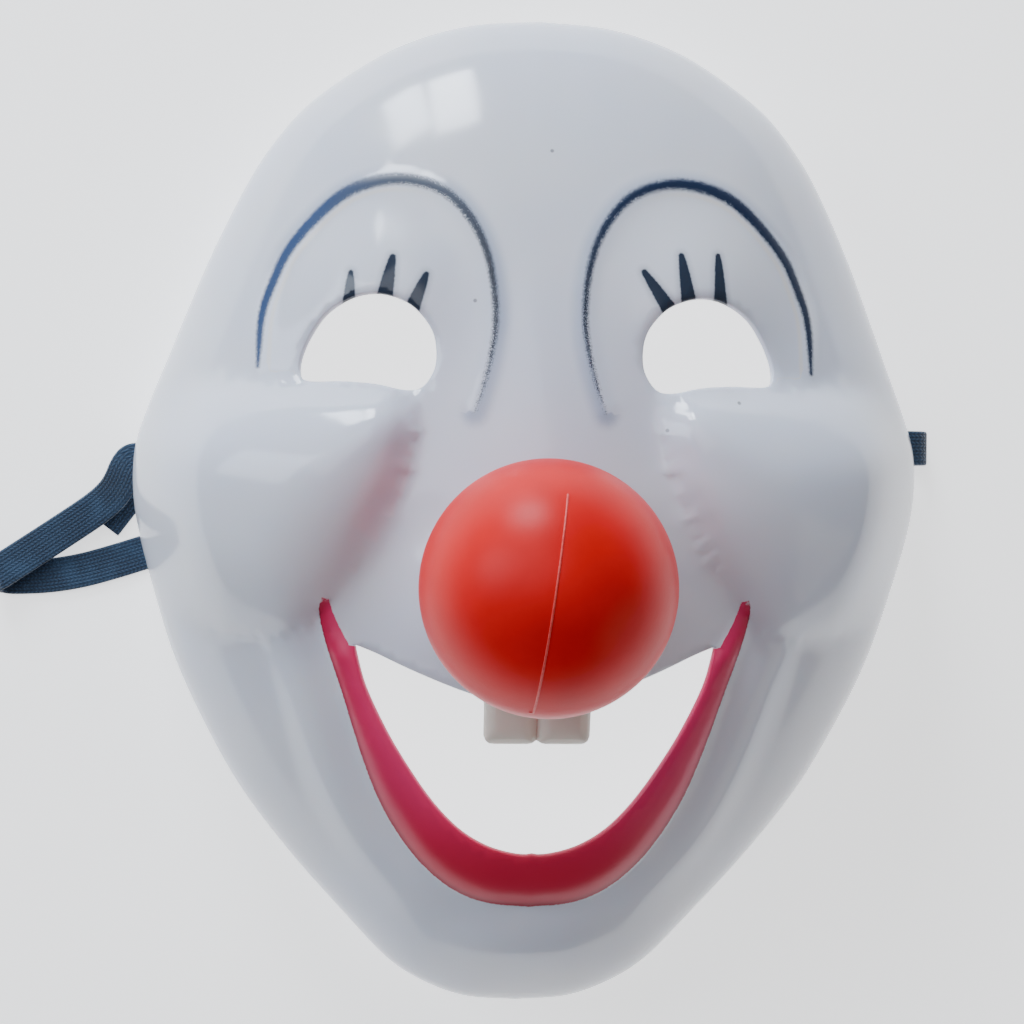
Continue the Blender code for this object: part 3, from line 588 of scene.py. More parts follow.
BROW = [
    Row(1.000, 0.200),
    Row(0.990, 0.420),
    Row(0.940, 0.580),
    Row(0.870, 0.720),
    Row(0.725, 0.880),
    Row(0.600, 0.965),
    Row(0.450, 1.000),
    Row(0.315, 0.985),
    Row(0.200, 0.930),
    Row(0.110, 0.830),
    Row(0.045, 0.700),
    Row(0.010, 0.545),
    Row(0.000, 0.385),
    Row(0.020, 0.230),
    Row(0.050, 0.110),
    Row(0.085, 0.000),
]


CHEEK = [
    Row(1.300, 1.030),
    Row(0.900, 1.030),
    Row(0.680, 1.030),
    Row(0.525, 1.010),
    Row(0.372, 0.975),
    Row(0.220, 0.955),
    Row(0.090, 0.930),
    Row(0.025, 0.840),
    Row(0.000, 0.655),
    Row(0.023, 0.364),
    Row(0.073, 0.073),
    Row(0.135, -0.218),
    Row(0.204, -0.473),
    Row(0.273, -0.690),
    Row(0.334, -0.873),
    Row(0.418, -0.980),
    Row(0.556, -1.000),
    Row(0.755, -0.945),
    Row(1.000, -0.850),
    Row(1.300, -0.750),
]

# %% Mouth and lip outlines
MOUTH_UPPER = [
    Row(1.000, 0.000),
    Row(0.878, -0.040),
    Row(0.716, -0.102),
    Row(0.547, -0.160),
    Row(0.400, -0.205),
    Row(0.310, -0.228),
]


MOUTH_LOWER = [
    Row(0.000, -1.000),
    Row(0.104, -0.993),
    Row(0.260, -0.953),
    Row(0.417, -0.870),
    Row(0.570, -0.735),
    Row(0.710, -0.565),
    Row(0.840, -0.380),
    Row(0.945, -0.190),
    Row(1.000, 0.000),
]


LIP_OUTER = [
    Row(0.985, 0.000),
    Row(1.000, -0.035),
    Row(0.990, -0.090),
    Row(0.956, -0.173),
    Row(0.895, -0.295),
    Row(0.840, -0.416),
    Row(0.780, -0.540),
    Row(0.710, -0.658),
    Row(0.615, -0.770),
    Row(0.500, -0.867),
    Row(0.356, -0.946),
    Row(0.197, -0.988),
    Row(0.000, -1.000),
]


LIP_INNER = [
    Row(0.862, -0.145),
    Row(0.905, -0.095),
    Row(0.940, -0.040),
    Row(0.955, -0.005),
]

# %% Lines of the face
def spaced(line, step):
    """The line again, with points about step apart along it."""
    along = np.concatenate([[0.0], np.cumsum(np.linalg.norm(np.diff(line, axis=0), axis=1))])
    count = max(2, round(along[-1] / step) + 1)
    at = np.linspace(0.0, along[-1], count)
    return np.column_stack([np.interp(at, along, line[:, 0]), np.interp(at, along, line[:, 1])])


def distance_to(points, line):
    """The distance from each point to the nearest stretch of a line."""
    best = np.full(len(points), np.inf)
    for a, b in zip(line, line[1:]):
        run = b - a
        share = np.clip((points - a) @ run / max(run @ run, 1e-18), 0.0, 1.0)
        best = np.minimum(best, np.linalg.norm(points - a - share[:, None] * run, axis=1))
    return best


def inside_of(points, outline):
    """Whether each point lies inside a closed outline."""
    crossings = np.zeros(len(points), int)
    for a, b in zip(outline, np.roll(outline, -1, axis=0)):
        spans = (a[1] > points[:, 1]) != (b[1] > points[:, 1])
        level = np.where(spans, points[:, 1], a[1])
        at = a[0] + (level - a[1]) * (b[0] - a[0]) / (b[1] - a[1] if b[1] != a[1] else 1.0)
        crossings += spans & (points[:, 0] < at)
    return crossings % 2 == 1

OUTLINE_STEPS = 6


def outlines():
    """Every outline that the relief follows, by name, on the side where x is positive."""
    tooth_root = MOUTH_TOP + MOUTH_UPPER[-1].up * MOUTH_DROP
    turn = np.linspace(0.0, math.pi / 2, 5)
    outer_corner = np.column_stack([TOOTH_WIDTH - TOOTH_CORNER * (1 - np.cos(turn)),
                                    TOOTH_BOTTOM + TOOTH_CORNER * (1 - np.sin(turn))])
    tooth = np.vstack([
        [(TOOTH_WIDTH, tooth_root)],
        outer_corner,
        [(0.7 * TOOTH_CORNER, TOOTH_BOTTOM), (0.3 * TOOTH_CORNER, TOOTH_BOTTOM + 0.15 * TOOTH_CORNER)],
        [(0.0, TOOTH_BOTTOM + 0.5 * TOOTH_CORNER)],
    ])
    steps = OUTLINE_STEPS
    return {
        "eye": curve_through(points_of(EYE, EYE_WIDTH / 2, EYE_HEIGHT / 2, EYE_X, EYE_Y), steps, closed=True),
        "brow": curve_through(points_of(BROW, BROW_SPAN, BROW_HEIGHT, BROW_INNER, BROW_BASE), steps),
        "cheek": curve_through(points_of(CHEEK, CHEEK_SPAN, CHEEK_REACH, CHEEK_INNER), steps),
        "mouth_upper": curve_through(points_of(MOUTH_UPPER, MOUTH_HALF, MOUTH_DROP, y=MOUTH_TOP), steps),
        "mouth_lower": curve_through(points_of(MOUTH_LOWER, MOUTH_HALF, MOUTH_DROP, y=MOUTH_TOP), steps),
        "lip_outer": curve_through(points_of(LIP_OUTER, LIP_HALF, LIP_DROP, y=LIP_TIP), steps),
        "lip_inner": curve_through(points_of(LIP_INNER, LIP_HALF, LIP_DROP, y=LIP_TIP), steps),
        "tooth": tooth,
    }


LINES = outlines()
LIP_INSIDE = np.vstack([LINES["mouth_lower"], LINES["lip_inner"]])
print({name: len(line) for name, line in LINES.items()})

# %% [markdown]
# The dome falls steeply near the rim, so even facets on the plan would stretch there. The plan is first laid
# flat, as if the dome were unrolled, meshed evenly, and rolled up again.

# %% Dome
def rim_radius(angle):
    """How far the rim is from the middle of the mask, by the angle from +Y, the same on both sides."""
    side = curve_through(points_of(RIM, HALF_WIDTH, HALF_HEIGHT), 8)
    return np.interp(np.abs(angle), np.arctan2(side[:, 0], side[:, 1]), np.hypot(side[:, 0], side[:, 1]))

FALL = 1.0 - (1.0 - np.linspace(0.0, 1.0, 1200)) ** 2
DOME = (1.0 - FALL**DOME_FULLNESS) ** DOME_EDGE
SLANT = np.hypot(np.diff(FALL), np.diff(DOME) * CROWN / HALF_WIDTH)
ALONG = np.concatenate([[0.0], np.cumsum(SLANT)])


def moved_along(points, known, wanted):
    """Moves points straight out or in, from where known puts them to where wanted does."""
    reach = np.hypot(points[:, 0], points[:, 1])
    share = reach / rim_radius(np.arctan2(points[:, 0], points[:, 1]))
    factor = np.interp(share, known, wanted) / np.maximum(share, 1e-9)
    return points * np.where(share < 1e-6, 1.0, factor)[:, None]


def unroll(points):
    """Moves points on the mask's plan out to where they are when the dome is laid flat."""
    return moved_along(points, FALL, ALONG)


def roll_up(points):
    """Moves points on the flat dome back to the mask's plan."""
    return moved_along(points, ALONG, FALL)


def rim_lift(y):
    """How far the rim stands over the table at a place along its side."""
    bay = ease((BAY_TOP - y) / BAY_EASE) * ease((y - BAY_BOTTOM) / BAY_EASE)
    forehead = ease((y / HALF_HEIGHT - 0.50) / 0.50)
    chin = ease((-y / HALF_HEIGHT - 0.68) / 0.32)
    return BAY_LIFT * bay + FOREHEAD_LIFT * forehead + CHIN_LIFT * chin


def skirt_top(y):
    """The level where the upright skirt ends and the dome starts."""
    forehead = ease((y / HALF_HEIGHT - 0.35) / 0.65)
    chin = ease((-y / HALF_HEIGHT - 0.45) / 0.55)
    return SKIRT + (FOREHEAD_LIFT - 0.5 * SKIRT) * forehead + (CHIN_LIFT - 0.2 * SKIRT) * chin

# %% [markdown]
# The big forms are rounded where they meet, as plastic that was drawn over a mould is. They are worked out
# first, then each point takes the average of its neighbours a few times. The lip, the brow line and the teeth
# are crisper, so they are added after that.

# %% Big forms
CHEEK_FULLNESS = 2.2    # how early a cheek is at its full height
CHEEK_EDGE = 0.66       # and how steeply it starts at its edge


def big_forms(points):
    """How far the lids, cheeks, bridge, muzzle, chin and jaw stand over the dome, where x is 0 or more."""
    x, y = points[:, 0], points[:, 1]
    lid = LID_RISE * swell(np.hypot((x - LID_X) / (LID_WIDTH / 2), (y - LID_Y) / (LID_HEIGHT / 2)))

    inward = np.where(inside_of(points, LINES["cheek"]), distance_to(points, LINES["cheek"]), 0.0)
    soft = CHEEK_SOFT * ease((x - EYE_X) / (HALF_WIDTH - EYE_X)) * ease(y / CHEEK_REACH)
    inward = inward**2 / np.maximum(inward + soft, 1e-9)
    depth = np.clip(inward / CHEEK_ROUND, 0.0, 1.0)
    cheek = CHEEK_RISE * (1.0 - (1.0 - depth) ** CHEEK_FULLNESS) ** CHEEK_EDGE

    down = ease((BRIDGE_TOP - y) / (BRIDGE_TOP - NOSE_Y))
    half = BRIDGE_WIDTH / 2 * (1.0 + 1.4 * down)
    under = ease((y - MOUTH_TOP + 0.6 * MOUTH_DROP) / (0.6 * MOUTH_DROP))
    bridge = BRIDGE_RISE * down * under * np.exp(-((x / half) ** 2))
    muzzle = MUZZLE_RISE * swell(np.hypot(x / (MUZZLE_WIDTH / 2), (y - MUZZLE_Y) / (MUZZLE_HEIGHT / 2)))

    chin = CHIN_RISE * swell(np.hypot(x / (CHIN_WIDTH / 2), (y - CHIN_Y) / (CHIN_HEIGHT / 2)))
    turn = math.cos(JAW_SLOPE), math.sin(JAW_SLOPE)
    run = (x - JAW_X) * turn[0] - (y - JAW_Y) * turn[1]
    off = (x - JAW_X) * turn[1] + (y - JAW_Y) * turn[0]
    jaw = -JAW_DEPTH * swell(np.hypot(run / (JAW_LENGTH / 2), off / (JAW_WIDTH / 2)))
    return lid + cheek + bridge + muzzle + chin + jaw


def within_lip(points):
    """The distances to the lip's two edges, and whether a point lies between them."""
    to_inner = distance_to(points, LIP_INSIDE)
    to_outer = distance_to(points, LINES["lip_outer"])
    on_edge = np.minimum(to_outer, to_inner) < 1e-6
    return to_inner, to_outer, inside_of(points, np.vstack([LIP_INSIDE, LINES["lip_outer"]])) | on_edge


def lip_and_fold(points):
    """The round swell of the lip, and the fold that runs outside it."""
    to_inner, to_outer, within = within_lip(points)
    across = to_outer / np.maximum(to_outer + to_inner, 1e-9)
    rolled = 0.5 + 0.30 * ease((MOUTH_TOP - points[:, 1]) / 0.010)
    rise = np.where(across < LIP_CREST, 0.5 * across / LIP_CREST,
                    0.5 + (1.0 - rolled) * (across - LIP_CREST) / (1.0 - LIP_CREST))
    full = ease((to_outer + to_inner) / LIP_BROAD) * ease((LIP_TIP - points[:, 1]) / LIP_BROAD)
    lip = LIP_RISE * full * np.sin(math.pi * np.clip(rise, 0.0, 1.0)) ** 0.8

    drop = np.clip((LIP_TIP - points[:, 1]) / LIP_DROP, 0.0, 2.0)
    fade = ease(drop / 0.25) * (1.0 - 0.7 * ease((drop - 0.80) / 0.25))
    fold_half = np.where(to_outer < FOLD_OUT, FOLD_OUT, FOLD_WIDTH / 2)
    fold = FOLD_RISE * fade * swell((to_outer - FOLD_OUT) / fold_half)
    midline = [(-0.001, LIP_TIP - LIP_DROP), (-0.001, LIP_TIP + 0.002)]
    enclosed = inside_of(points, np.vstack([LINES["lip_outer"], midline]))
    return np.where(within, lip, 0.0), np.where(within | enclosed, 0.0, fold)

# %% Heights of the face
ROUNDING = 4
TOOTH_ROOT = MOUTH_TOP + MOUTH_UPPER[-1].up * MOUTH_DROP


def rounded(levels, sides, times):
    """Moves every level towards the average of its neighbours, so many times."""
    count = np.bincount(sides.ravel(), minlength=len(levels))
    for _ in range(times):
        total = np.bincount(sides[:, 0], levels[sides[:, 1]], len(levels))
        total += np.bincount(sides[:, 1], levels[sides[:, 0]], len(levels))
        levels = 0.5 * levels + 0.5 * total / np.maximum(count, 1)
    return levels


def on_teeth(points):
    x, y = points[:, 0], points[:, 1]
    near = (x < TOOTH_WIDTH + 1e-6) & (y > TOOTH_BOTTOM - 1e-3)
    return ease((TOOTH_ROOT + 0.5 * TOOTH_ROUND - y) / TOOTH_ROUND) * near


def face_levels(points, sides):
    """The level of the outer surface over the table at each point of the plan."""
    x, y = points[:, 0], points[:, 1]
    share = np.clip(np.hypot(x, y) / rim_radius(np.arctan2(x, y)), 0.0, 1.0)
    base = skirt_top(y * np.where(share > 0, 1.0, 0.0))
    lip, fold = lip_and_fold(points)
    brow = BROW_RISE * swell(distance_to(points, LINES["brow"]) / (BROW_WIDTH / 2))
    relief = rounded(big_forms(points) + fold, sides, ROUNDING) + rounded(lip + brow, sides, 1)
    level = base + (CROWN - base) * np.interp(share, FALL, DOME) + relief * ease((1.0 - share) / 0.22)
    seat = ease((SEAT_RADIUS + SEAT_EASE - np.hypot(x, y - NOSE_Y)) / SEAT_EASE)
    level += (SEAT_LEVEL - level) * seat

    inset = np.minimum(np.minimum(x, TOOTH_WIDTH - x), y - TOOTH_BOTTOM) / TOOTH_ROUND
    lean = TOOTH_LEAN * (TOOTH_ROOT - y) / (TOOTH_ROOT - TOOTH_BOTTOM)
    tooth = TOOTH_LEVEL - lean + TOOTH_RISE * np.sin(math.pi / 2 * np.clip(inset, 0.0, 1.0))
    return level + (tooth - level) * on_teeth(points)

# %% [markdown]
# A Delaunay mesh fills the flat plan with even triangles and keeps every drawn line as edges: the holes, the
# cheek's edge, the lip's edges, the brow line, the nose seat and the teeth. So a crease lies on edges and
# never cuts across a facet.

# %% Plan mesh
FACET = 0.0019
FINE = 0.62 * FACET
EDGE_SWELL = 0.00028    # how far the rounded edge of the plastic stands out at its middle


def beside(line, distance):
    """The line again, moved sideways to its left."""
    across = np.gradient(line, axis=0)[:, ::-1] * (-1.0, 1.0)
    return line + distance * across / np.linalg.norm(across, axis=1)[:, None]


def wider(hole, by):
    """A hole's closed outline, moved outwards by as much as its rounded edge swells back in."""
    along = np.roll(hole[:-1], -1, axis=0) - np.roll(hole[:-1], 1, axis=0)
    across = along[:, ::-1] * (-1.0, 1.0)
    moved = hole[:-1] + by * across / np.linalg.norm(across, axis=1)[:, None]
    return np.vstack([moved, moved[:1]])


def drawn_lines():
    """The lines inside the face that the mesh follows."""
    cheek = spaced(LINES["cheek"], FINE)
    cheek = cheek[np.hypot(*cheek.T) < 0.97 * rim_radius(np.arctan2(*cheek.T))]
    brow = spaced(LINES["brow"], FINE)
    lip = spaced(LINES["lip_outer"], FINE)
    low = lip[:, 1] < MOUTH_TOP
    turn = np.linspace(0.0, math.pi, 40)
    ring = np.column_stack([np.sin(turn), np.cos(turn)])
    seat = np.array([0.0, NOSE_Y])
    lines = [cheek, brow, beside(brow, 0.3 * BROW_WIDTH)[1:-1], beside(brow, -0.3 * BROW_WIDTH)[1:-1], lip,
             beside(lip, -0.0009)[low][:-1], spaced(LINES["lip_inner"], FINE)[1:],
             seat + ring * SEAT_RADIUS, seat + ring * (SEAT_RADIUS + SEAT_EASE)]
    for share in (0.3, 0.6, 1.0):
        edge = share * TOOTH_ROUND
        corners = [(TOOTH_WIDTH - edge, TOOTH_ROOT), (TOOTH_WIDTH - edge, TOOTH_BOTTOM + edge),
                   (edge, TOOTH_BOTTOM + edge), (edge, TOOTH_ROOT)]
        lines.append(spaced(np.array(corners), FINE))
    return lines


def rim_points():
    """The rim, with points where the strap's slot begins and ends."""
    rim = curve_through(points_of(RIM, HALF_WIDTH, HALF_HEIGHT), 24)
    ends = [np.abs(rim[:, 1] - (SLOT_Y + side * SLOT_LENGTH / 2)).argmin() for side in (1, -1)]
    stops = [0, *ends, len(rim)]
    parts = [spaced(rim[a:b + 1], FACET) for a, b in zip(stops, stops[1:])]
    return np.vstack([parts[0]] + [part[1:] for part in parts[1:]]) * 0.999999


def tree_of(points):
    """A tree that finds the nearest of the points."""
    tree = KDTree(len(points))
    for index, (x, y) in enumerate(points):
        tree.insert((x, y, 0.0), index)
    tree.balance()
    return tree


def plan_mesh():
    """Points on the plan and the triangles between them, for the right half of the face."""
    rim = unroll(rim_points())
    eye = unroll(wider(spaced(np.vstack([LINES["eye"], LINES["eye"][:1]]), FINE), EDGE_SWELL)[:-1])
    upper = [spaced(LINES["mouth_upper"], FINE), spaced(LINES["tooth"], FINE)[1:]]
    mouth = wider(np.vstack(upper + [spaced(LINES["mouth_lower"], FINE)]), -EDGE_SWELL)[:-1]
    foot = len(upper[0]) + len(upper[1])
    mouth[[foot - 1, foot], 0] = 0.0
    mouth = unroll(mouth)
    middle = [np.column_stack([np.zeros(2), ends]) for ends in ((rim[0, 1], mouth[foot - 1, 1]),
                                                              (mouth[foot, 1], rim[-1, 1]))]
    lines = [unroll(line) for line in drawn_lines()] + [rim] + [spaced(line, FACET) for line in middle]
    points, edges = [], []
    for line, closed in [(line, False) for line in lines] + [(eye, True), (mouth, True)]:
        first = len(points)
        points.extend(line.tolist())
        last = len(line) if closed else len(line) - 1
        edges.extend((first + i, first + (i + 1) % len(line)) for i in range(last))
    points = np.array(points)
    points[np.abs(points[:, 0]) < 1e-6, 0] = 0.0

    row = FACET * math.sqrt(3) / 2
    high, wide = int(1.4 * HALF_HEIGHT / row), int(1.5 * HALF_WIDTH / FACET)
    lattice = np.array([((i + 0.5 * (j % 2)) * FACET, j * row)
                        for j in range(-high, high + 1) for i in range(wide)])
    lattice = lattice[(lattice[:, 0] > 0.3 * FACET) & inside_of(lattice, rim)]
    near = tree_of(points)
    lattice = lattice[[near.find((x, y, 0.0))[2] > 0.6 * FACET for x, y in lattice]]

    given = [Vector(point) for point in np.vstack([points, lattice])]
    flat, _, faces, _, _, _ = delaunay_2d_cdt(given, edges, [], 0, 1e-7)
    flat = np.array([tuple(point) for point in flat])
    faces = np.array([tuple(face) for face in faces])
    a, b, c = (flat[faces[:, i]] for i in range(3))
    doubled = (b[:, 0] - a[:, 0]) * (c[:, 1] - a[:, 1]) - (b[:, 1] - a[:, 1]) * (c[:, 0] - a[:, 0])
    middles = (a + b + c) / 3
    kept = inside_of(middles, rim) & (np.abs(doubled) > 1e-11)
    for hole in (eye, mouth):
        kept &= ~inside_of(middles, hole)
    plan = roll_up(flat)
    plan[np.abs(plan[:, 0]) < 1e-6, 0] = 0.0
    return plan, faces[kept], roll_up(rim)


plan, triangles, rim_plan = plan_mesh()
pairs = [triangles[:, [a, b]] for a, b in ((0, 1), (1, 2), (2, 0))]
sides = np.unique(np.sort(np.vstack(pairs), axis=1), axis=0)
levels = face_levels(plan, sides)
print("half face:", len(plan), "points,", len(triangles), "triangles")

# %% [markdown]
# The paint isn't modelled. Each point of the mesh keeps a few numbers instead: how far it is from the brow
# line and how far along it, how far inside the lip, and how much of a tooth it is. Distances change evenly
# from point to point, so the material can cut a crisp edge from them between the points.

# %% Paint fields
BrowMark = namedtuple("BrowMark", "run half dry")

# How the brush stroke of a brow changes from its outer tip to its tail.
# run is the share of the way along, half is half its width in mm, dry is how broken the paint is.
BROW_MARKS = [
    BrowMark(0.00, 0.45, 0.00),
    BrowMark(0.05, 0.80, 0.00),
    BrowMark(0.12, 1.05, 0.00),
    BrowMark(0.25, 1.25, 0.00),
    BrowMark(0.34, 1.45, 0.03),
    BrowMark(0.44, 1.50, 0.12),
    BrowMark(0.52, 1.35, 0.15),
    BrowMark(0.62, 1.10, 0.10),
    BrowMark(0.74, 0.85, 0.08),
    BrowMark(0.86, 0.70, 0.14),
    BrowMark(0.95, 0.62, 0.24),
    BrowMark(1.00, 0.45, 0.30),
]


def beside_line(points, line):
    """How far each point is from a line, in mm, and how far along the line that is, as a share."""
    best = np.full(len(points), np.inf)
    run = np.zeros(len(points))
    lengths = np.linalg.norm(np.diff(line, axis=0), axis=1)
    before = np.concatenate([[0.0], np.cumsum(lengths)])
    for a, b, length, start in zip(line, line[1:], lengths, before):
        ahead = (b - a) / length
        share = np.clip((points - a) @ ahead, 0.0, length)
        distance = np.linalg.norm(points - a - share[:, None] * ahead, axis=1)
        nearer = distance < best
        best[nearer] = distance[nearer]
        run[nearer] = (start + share[nearer]) / before[-1]
    return best * 1000.0, run


def paint_fields(points):
    """What the materials need to know at each point."""
    brow_off, brow_run = beside_line(points, LINES["brow"])
    brow_ring = np.vstack([LINES["brow"], [(BROW_INNER + 0.3 * BROW_SPAN, BROW_BASE)]])
    to_inner, to_outer, within = within_lip(points)
    edge = np.minimum(to_outer, distance_to(points, LINES["lip_inner"]))
    marks = np.array(BROW_MARKS)
    return {
        "brow_off": brow_off,
        "brow_run": brow_run,
        "brow_in": brow_off * np.where(inside_of(points, brow_ring), 1.0, -1.0),
        "brow_half": np.interp(brow_run, marks[:, 0], marks[:, 1]),
        "brow_dry": np.interp(brow_run, marks[:, 0], marks[:, 2]),
        "lip_in": edge * np.where(within, 1000.0, -1000.0),
        "lip_across": to_outer / np.maximum(to_outer + to_inner, 1e-9),
        "tooth": on_teeth(points),
    }


fields = paint_fields(plan)
print("fields:", ", ".join(fields))

# %% [markdown]
# Now the half face becomes the whole shell. Below the dome's edge a low upright skirt is added in rows, and
# the faces where the strap goes through are left out. The half is mirrored, a second skin is laid 1.6 mm
# inside the first, and a rounded edge joins the two round every hole and along the rim.

# %% Shell mesh
EDGE_PROFILE = ((0.12, 0.62), (0.34, 0.96), (0.66, 0.96), (0.88, 0.62))
SKIN_ROUNDING = 14
RIM_LEAN = 0.014


def skirt_rows(plan, levels, triangles):
    """Adds the rows of the skirt under the dome's edge, with an opening for the strap."""
    finder = tree_of(plan)
    ring = [finder.find((x, y, 0.0))[1] for x, y in rim_plan]
    slot_low = STRIP / (SKIRT - BAY_LIFT)
    slot_high = (STRIP + SLOT_HEIGHT) / (SKIRT - BAY_LIFT)
    shares = [1.0, 0.86, slot_high, 0.5 * (slot_low + slot_high), slot_low, 0.2, 0.0]
    points = [(x, y, z) for (x, y), z in zip(plan, levels)]
    above, faces = ring, [tuple(face) for face in triangles]
    for lower in shares[1:]:
        row = []
        for index in ring:
            x, y, top = points[index]
            foot = rim_lift(y) + EDGE_SWELL
            row.append(len(points))
            points.append((x, y, foot + (top - foot) * lower))
        for i in range(len(ring) - 1):
            y = 0.5 * (points[ring[i]][1] + points[ring[i + 1]][1])
            through = abs(y - SLOT_Y) < SLOT_LENGTH / 2 and slot_low - 1e-6 < lower < slot_high - 1e-6
            if not through:
                faces.append((above[i], above[i + 1], row[i + 1], row[i]))
        above = row
    origin = list(range(len(plan))) + ring * (len(shares) - 1)
    return np.array(points), faces, np.array(origin)


def mirrored(points, faces, origin):
    """The half and its mirror image, sharing the points on the middle line."""
    middle = points[:, 0] == 0.0
    twin = np.where(middle, np.arange(len(points)), 0)
    twin[~middle] = len(points) + np.arange((~middle).sum())
    both = np.vstack([points, points[~middle] * (-1.0, 1.0, 1.0)])
    faces = faces + [tuple(int(twin[i]) for i in face[::-1]) for face in faces]
    return both, faces, np.concatenate([origin, origin[~middle]])


def skin_mesh(points, faces):
    mesh = bpy.data.meshes.new("painted_face")
    mesh.from_pydata(points.tolist(), [], faces)
    mesh.update()
    return mesh


def face_up(mesh):
    """Turns all faces outwards, which is up at the crown."""
    form = bmesh.new()
    form.from_mesh(mesh)
    bmesh.ops.recalc_face_normals(form, faces=form.faces)
    if max(form.faces, key=lambda face: face.calc_center_median().z).normal.z < 0:
        bmesh.ops.reverse_faces(form, faces=form.faces)
    form.to_mesh(mesh)
    form.free()


def edge_rings(form, borders, inner):
    """Rounds each open edge from the outer skin over to the inner one."""
    away = {}
    for a, b, face in borders:
        out = (b.co - a.co).cross(face.normal).normalized()
        if out.dot((a.co + b.co) / 2 - face.calc_center_median()) < 0:
            out = -out
        for vert in (a, b):
            away[vert] = away.get(vert, Vector()) + out
    rings = {}
    for vert, out in away.items():
        out.normalize()
        between = [vert.co.lerp(inner[vert.index].co, depth) + out * share * EDGE_SWELL
                   for depth, share in EDGE_PROFILE]
        rings[vert] = [vert] + [form.verts.new(place) for place in between] + [inner[vert.index]]
    for a, b, face in borders:
        order = list(face.verts)
        if order[(order.index(a) + 1) % len(order)] is b:
            a, b = b, a
        for upper in range(len(EDGE_PROFILE) + 1):
            form.faces.new((rings[a][upper], rings[b][upper], rings[b][upper + 1], rings[a][upper + 1]))
    return list(away)


def leaned(points):
    """The face leans a little: towards the rim, its forehead is off to the right and its chin to the left."""
    share = np.hypot(points[:, 0], points[:, 1]) / rim_radius(np.arctan2(points[:, 0], points[:, 1]))
    points[:, 0] += RIM_LEAN * points[:, 1] * np.clip(share, 0.0, 1.0) ** 4
    return points


def shell_mesh():
    points, faces, origin = mirrored(*skirt_rows(plan, levels, triangles))
    points = leaned(points)
    mesh = skin_mesh(points, faces)
    face_up(mesh)
    count = len(points)
    normal = np.zeros(count * 3)
    mesh.vertices.foreach_get("normal", normal)
    edges = np.zeros(len(mesh.edges) * 2, int)
    mesh.edges.foreach_get("vertices", edges)
    edges = edges.reshape(-1, 2)
    even = np.column_stack([rounded(part, edges, SKIN_ROUNDING) for part in normal.reshape(-1, 3).T])
    inside = points - WALL * even / np.linalg.norm(even, axis=1)[:, None]
    inside[:, 2] = np.maximum(inside[:, 2], EDGE_SWELL)

    form = bmesh.new()
    form.from_mesh(mesh)
    outer_faces = list(form.faces)
    borders = [(*edge.verts, edge.link_faces[0]) for edge in form.edges if edge.is_boundary]
    inner = [form.verts.new(place) for place in inside]
    form.verts.index_update()
    for face in outer_faces:
        form.faces.new([inner[vert.index] for vert in reversed(face.verts)]).material_index = 1
    rounded_verts = edge_rings(form, borders, inner)
    owners = list(range(count)) * 2 + [vert.index for vert in rounded_verts for _ in EDGE_PROFILE]
    form.to_mesh(mesh)
    form.free()
    return mesh, origin[np.array(owners)]

# %% Shell object
shell_data, owners = shell_mesh()
for name, numbers in fields.items():
    layer = shell_data.attributes.new(name, "FLOAT", "POINT")
    layer.data.foreach_set("value", numbers[owners].astype(np.float32))
shell_data.shade_smooth()
shell_data.set_sharp_from_angle(angle=math.radians(60))
print("shell:", len(shell_data.vertices), "points,", len(shell_data.polygons), "faces")

# %% [markdown]
# The face is gloss white plastic with hand-painted brows, lashes and lip. One net of nodes lays the paints
# over each other, each with its own edge, colour and wear, adds painted light and shade on the brows, lip and
# teeth, and then sets how the surface shines.

# %% Paints
LASHES = (
    ((-0.0402, 0.0435), (-0.0399, 0.0502), 0.00130),
    ((-0.0328, 0.0440), (-0.0311, 0.0534), 0.00165),
    ((-0.0270, 0.0420), (-0.0240, 0.0497), 0.00150),
    ((0.0278, 0.0422), (0.0221, 0.0510), 0.00155),
    ((0.0316, 0.0440), (0.0302, 0.0548), 0.00155),
    ((0.0386, 0.0435), (0.0384, 0.0551), 0.00145),
)
SPECKS = ((0.0028, 0.0775), (-0.0137, 0.0442), (0.0423, 0.0234), (0.0267, 0.0173))


def stroke(finish, place, root, tip, half):
    """How far a point is inside a brush stroke that narrows to a point at its tip, in metres."""
    a, b = Vector((*root, 0.0)), Vector((*tip, 0.0))
    flat = finish.vector("MULTIPLY", place, (1.0, 1.0, 0.0))
    off = finish.vector("SUBTRACT", flat, tuple(a))
    run = finish.vector("DOT_PRODUCT", off, tuple(b - a))
    share = finish.math("DIVIDE", run, (b - a).length_squared, clamp=True)
    foot = finish.node("ShaderNodeVectorMath", operation="SCALE")
    foot.inputs[0].default_value = b - a
    finish.fill(foot.inputs["Scale"], share)
    away = finish.vector("LENGTH", finish.vector("SUBTRACT", off, foot.outputs[0]))
    taper = finish.math("POWER", finish.math("SUBTRACT", 1.12, share), 0.45)
    return finish.math("SUBTRACT", finish.math("MULTIPLY", taper, half), away)


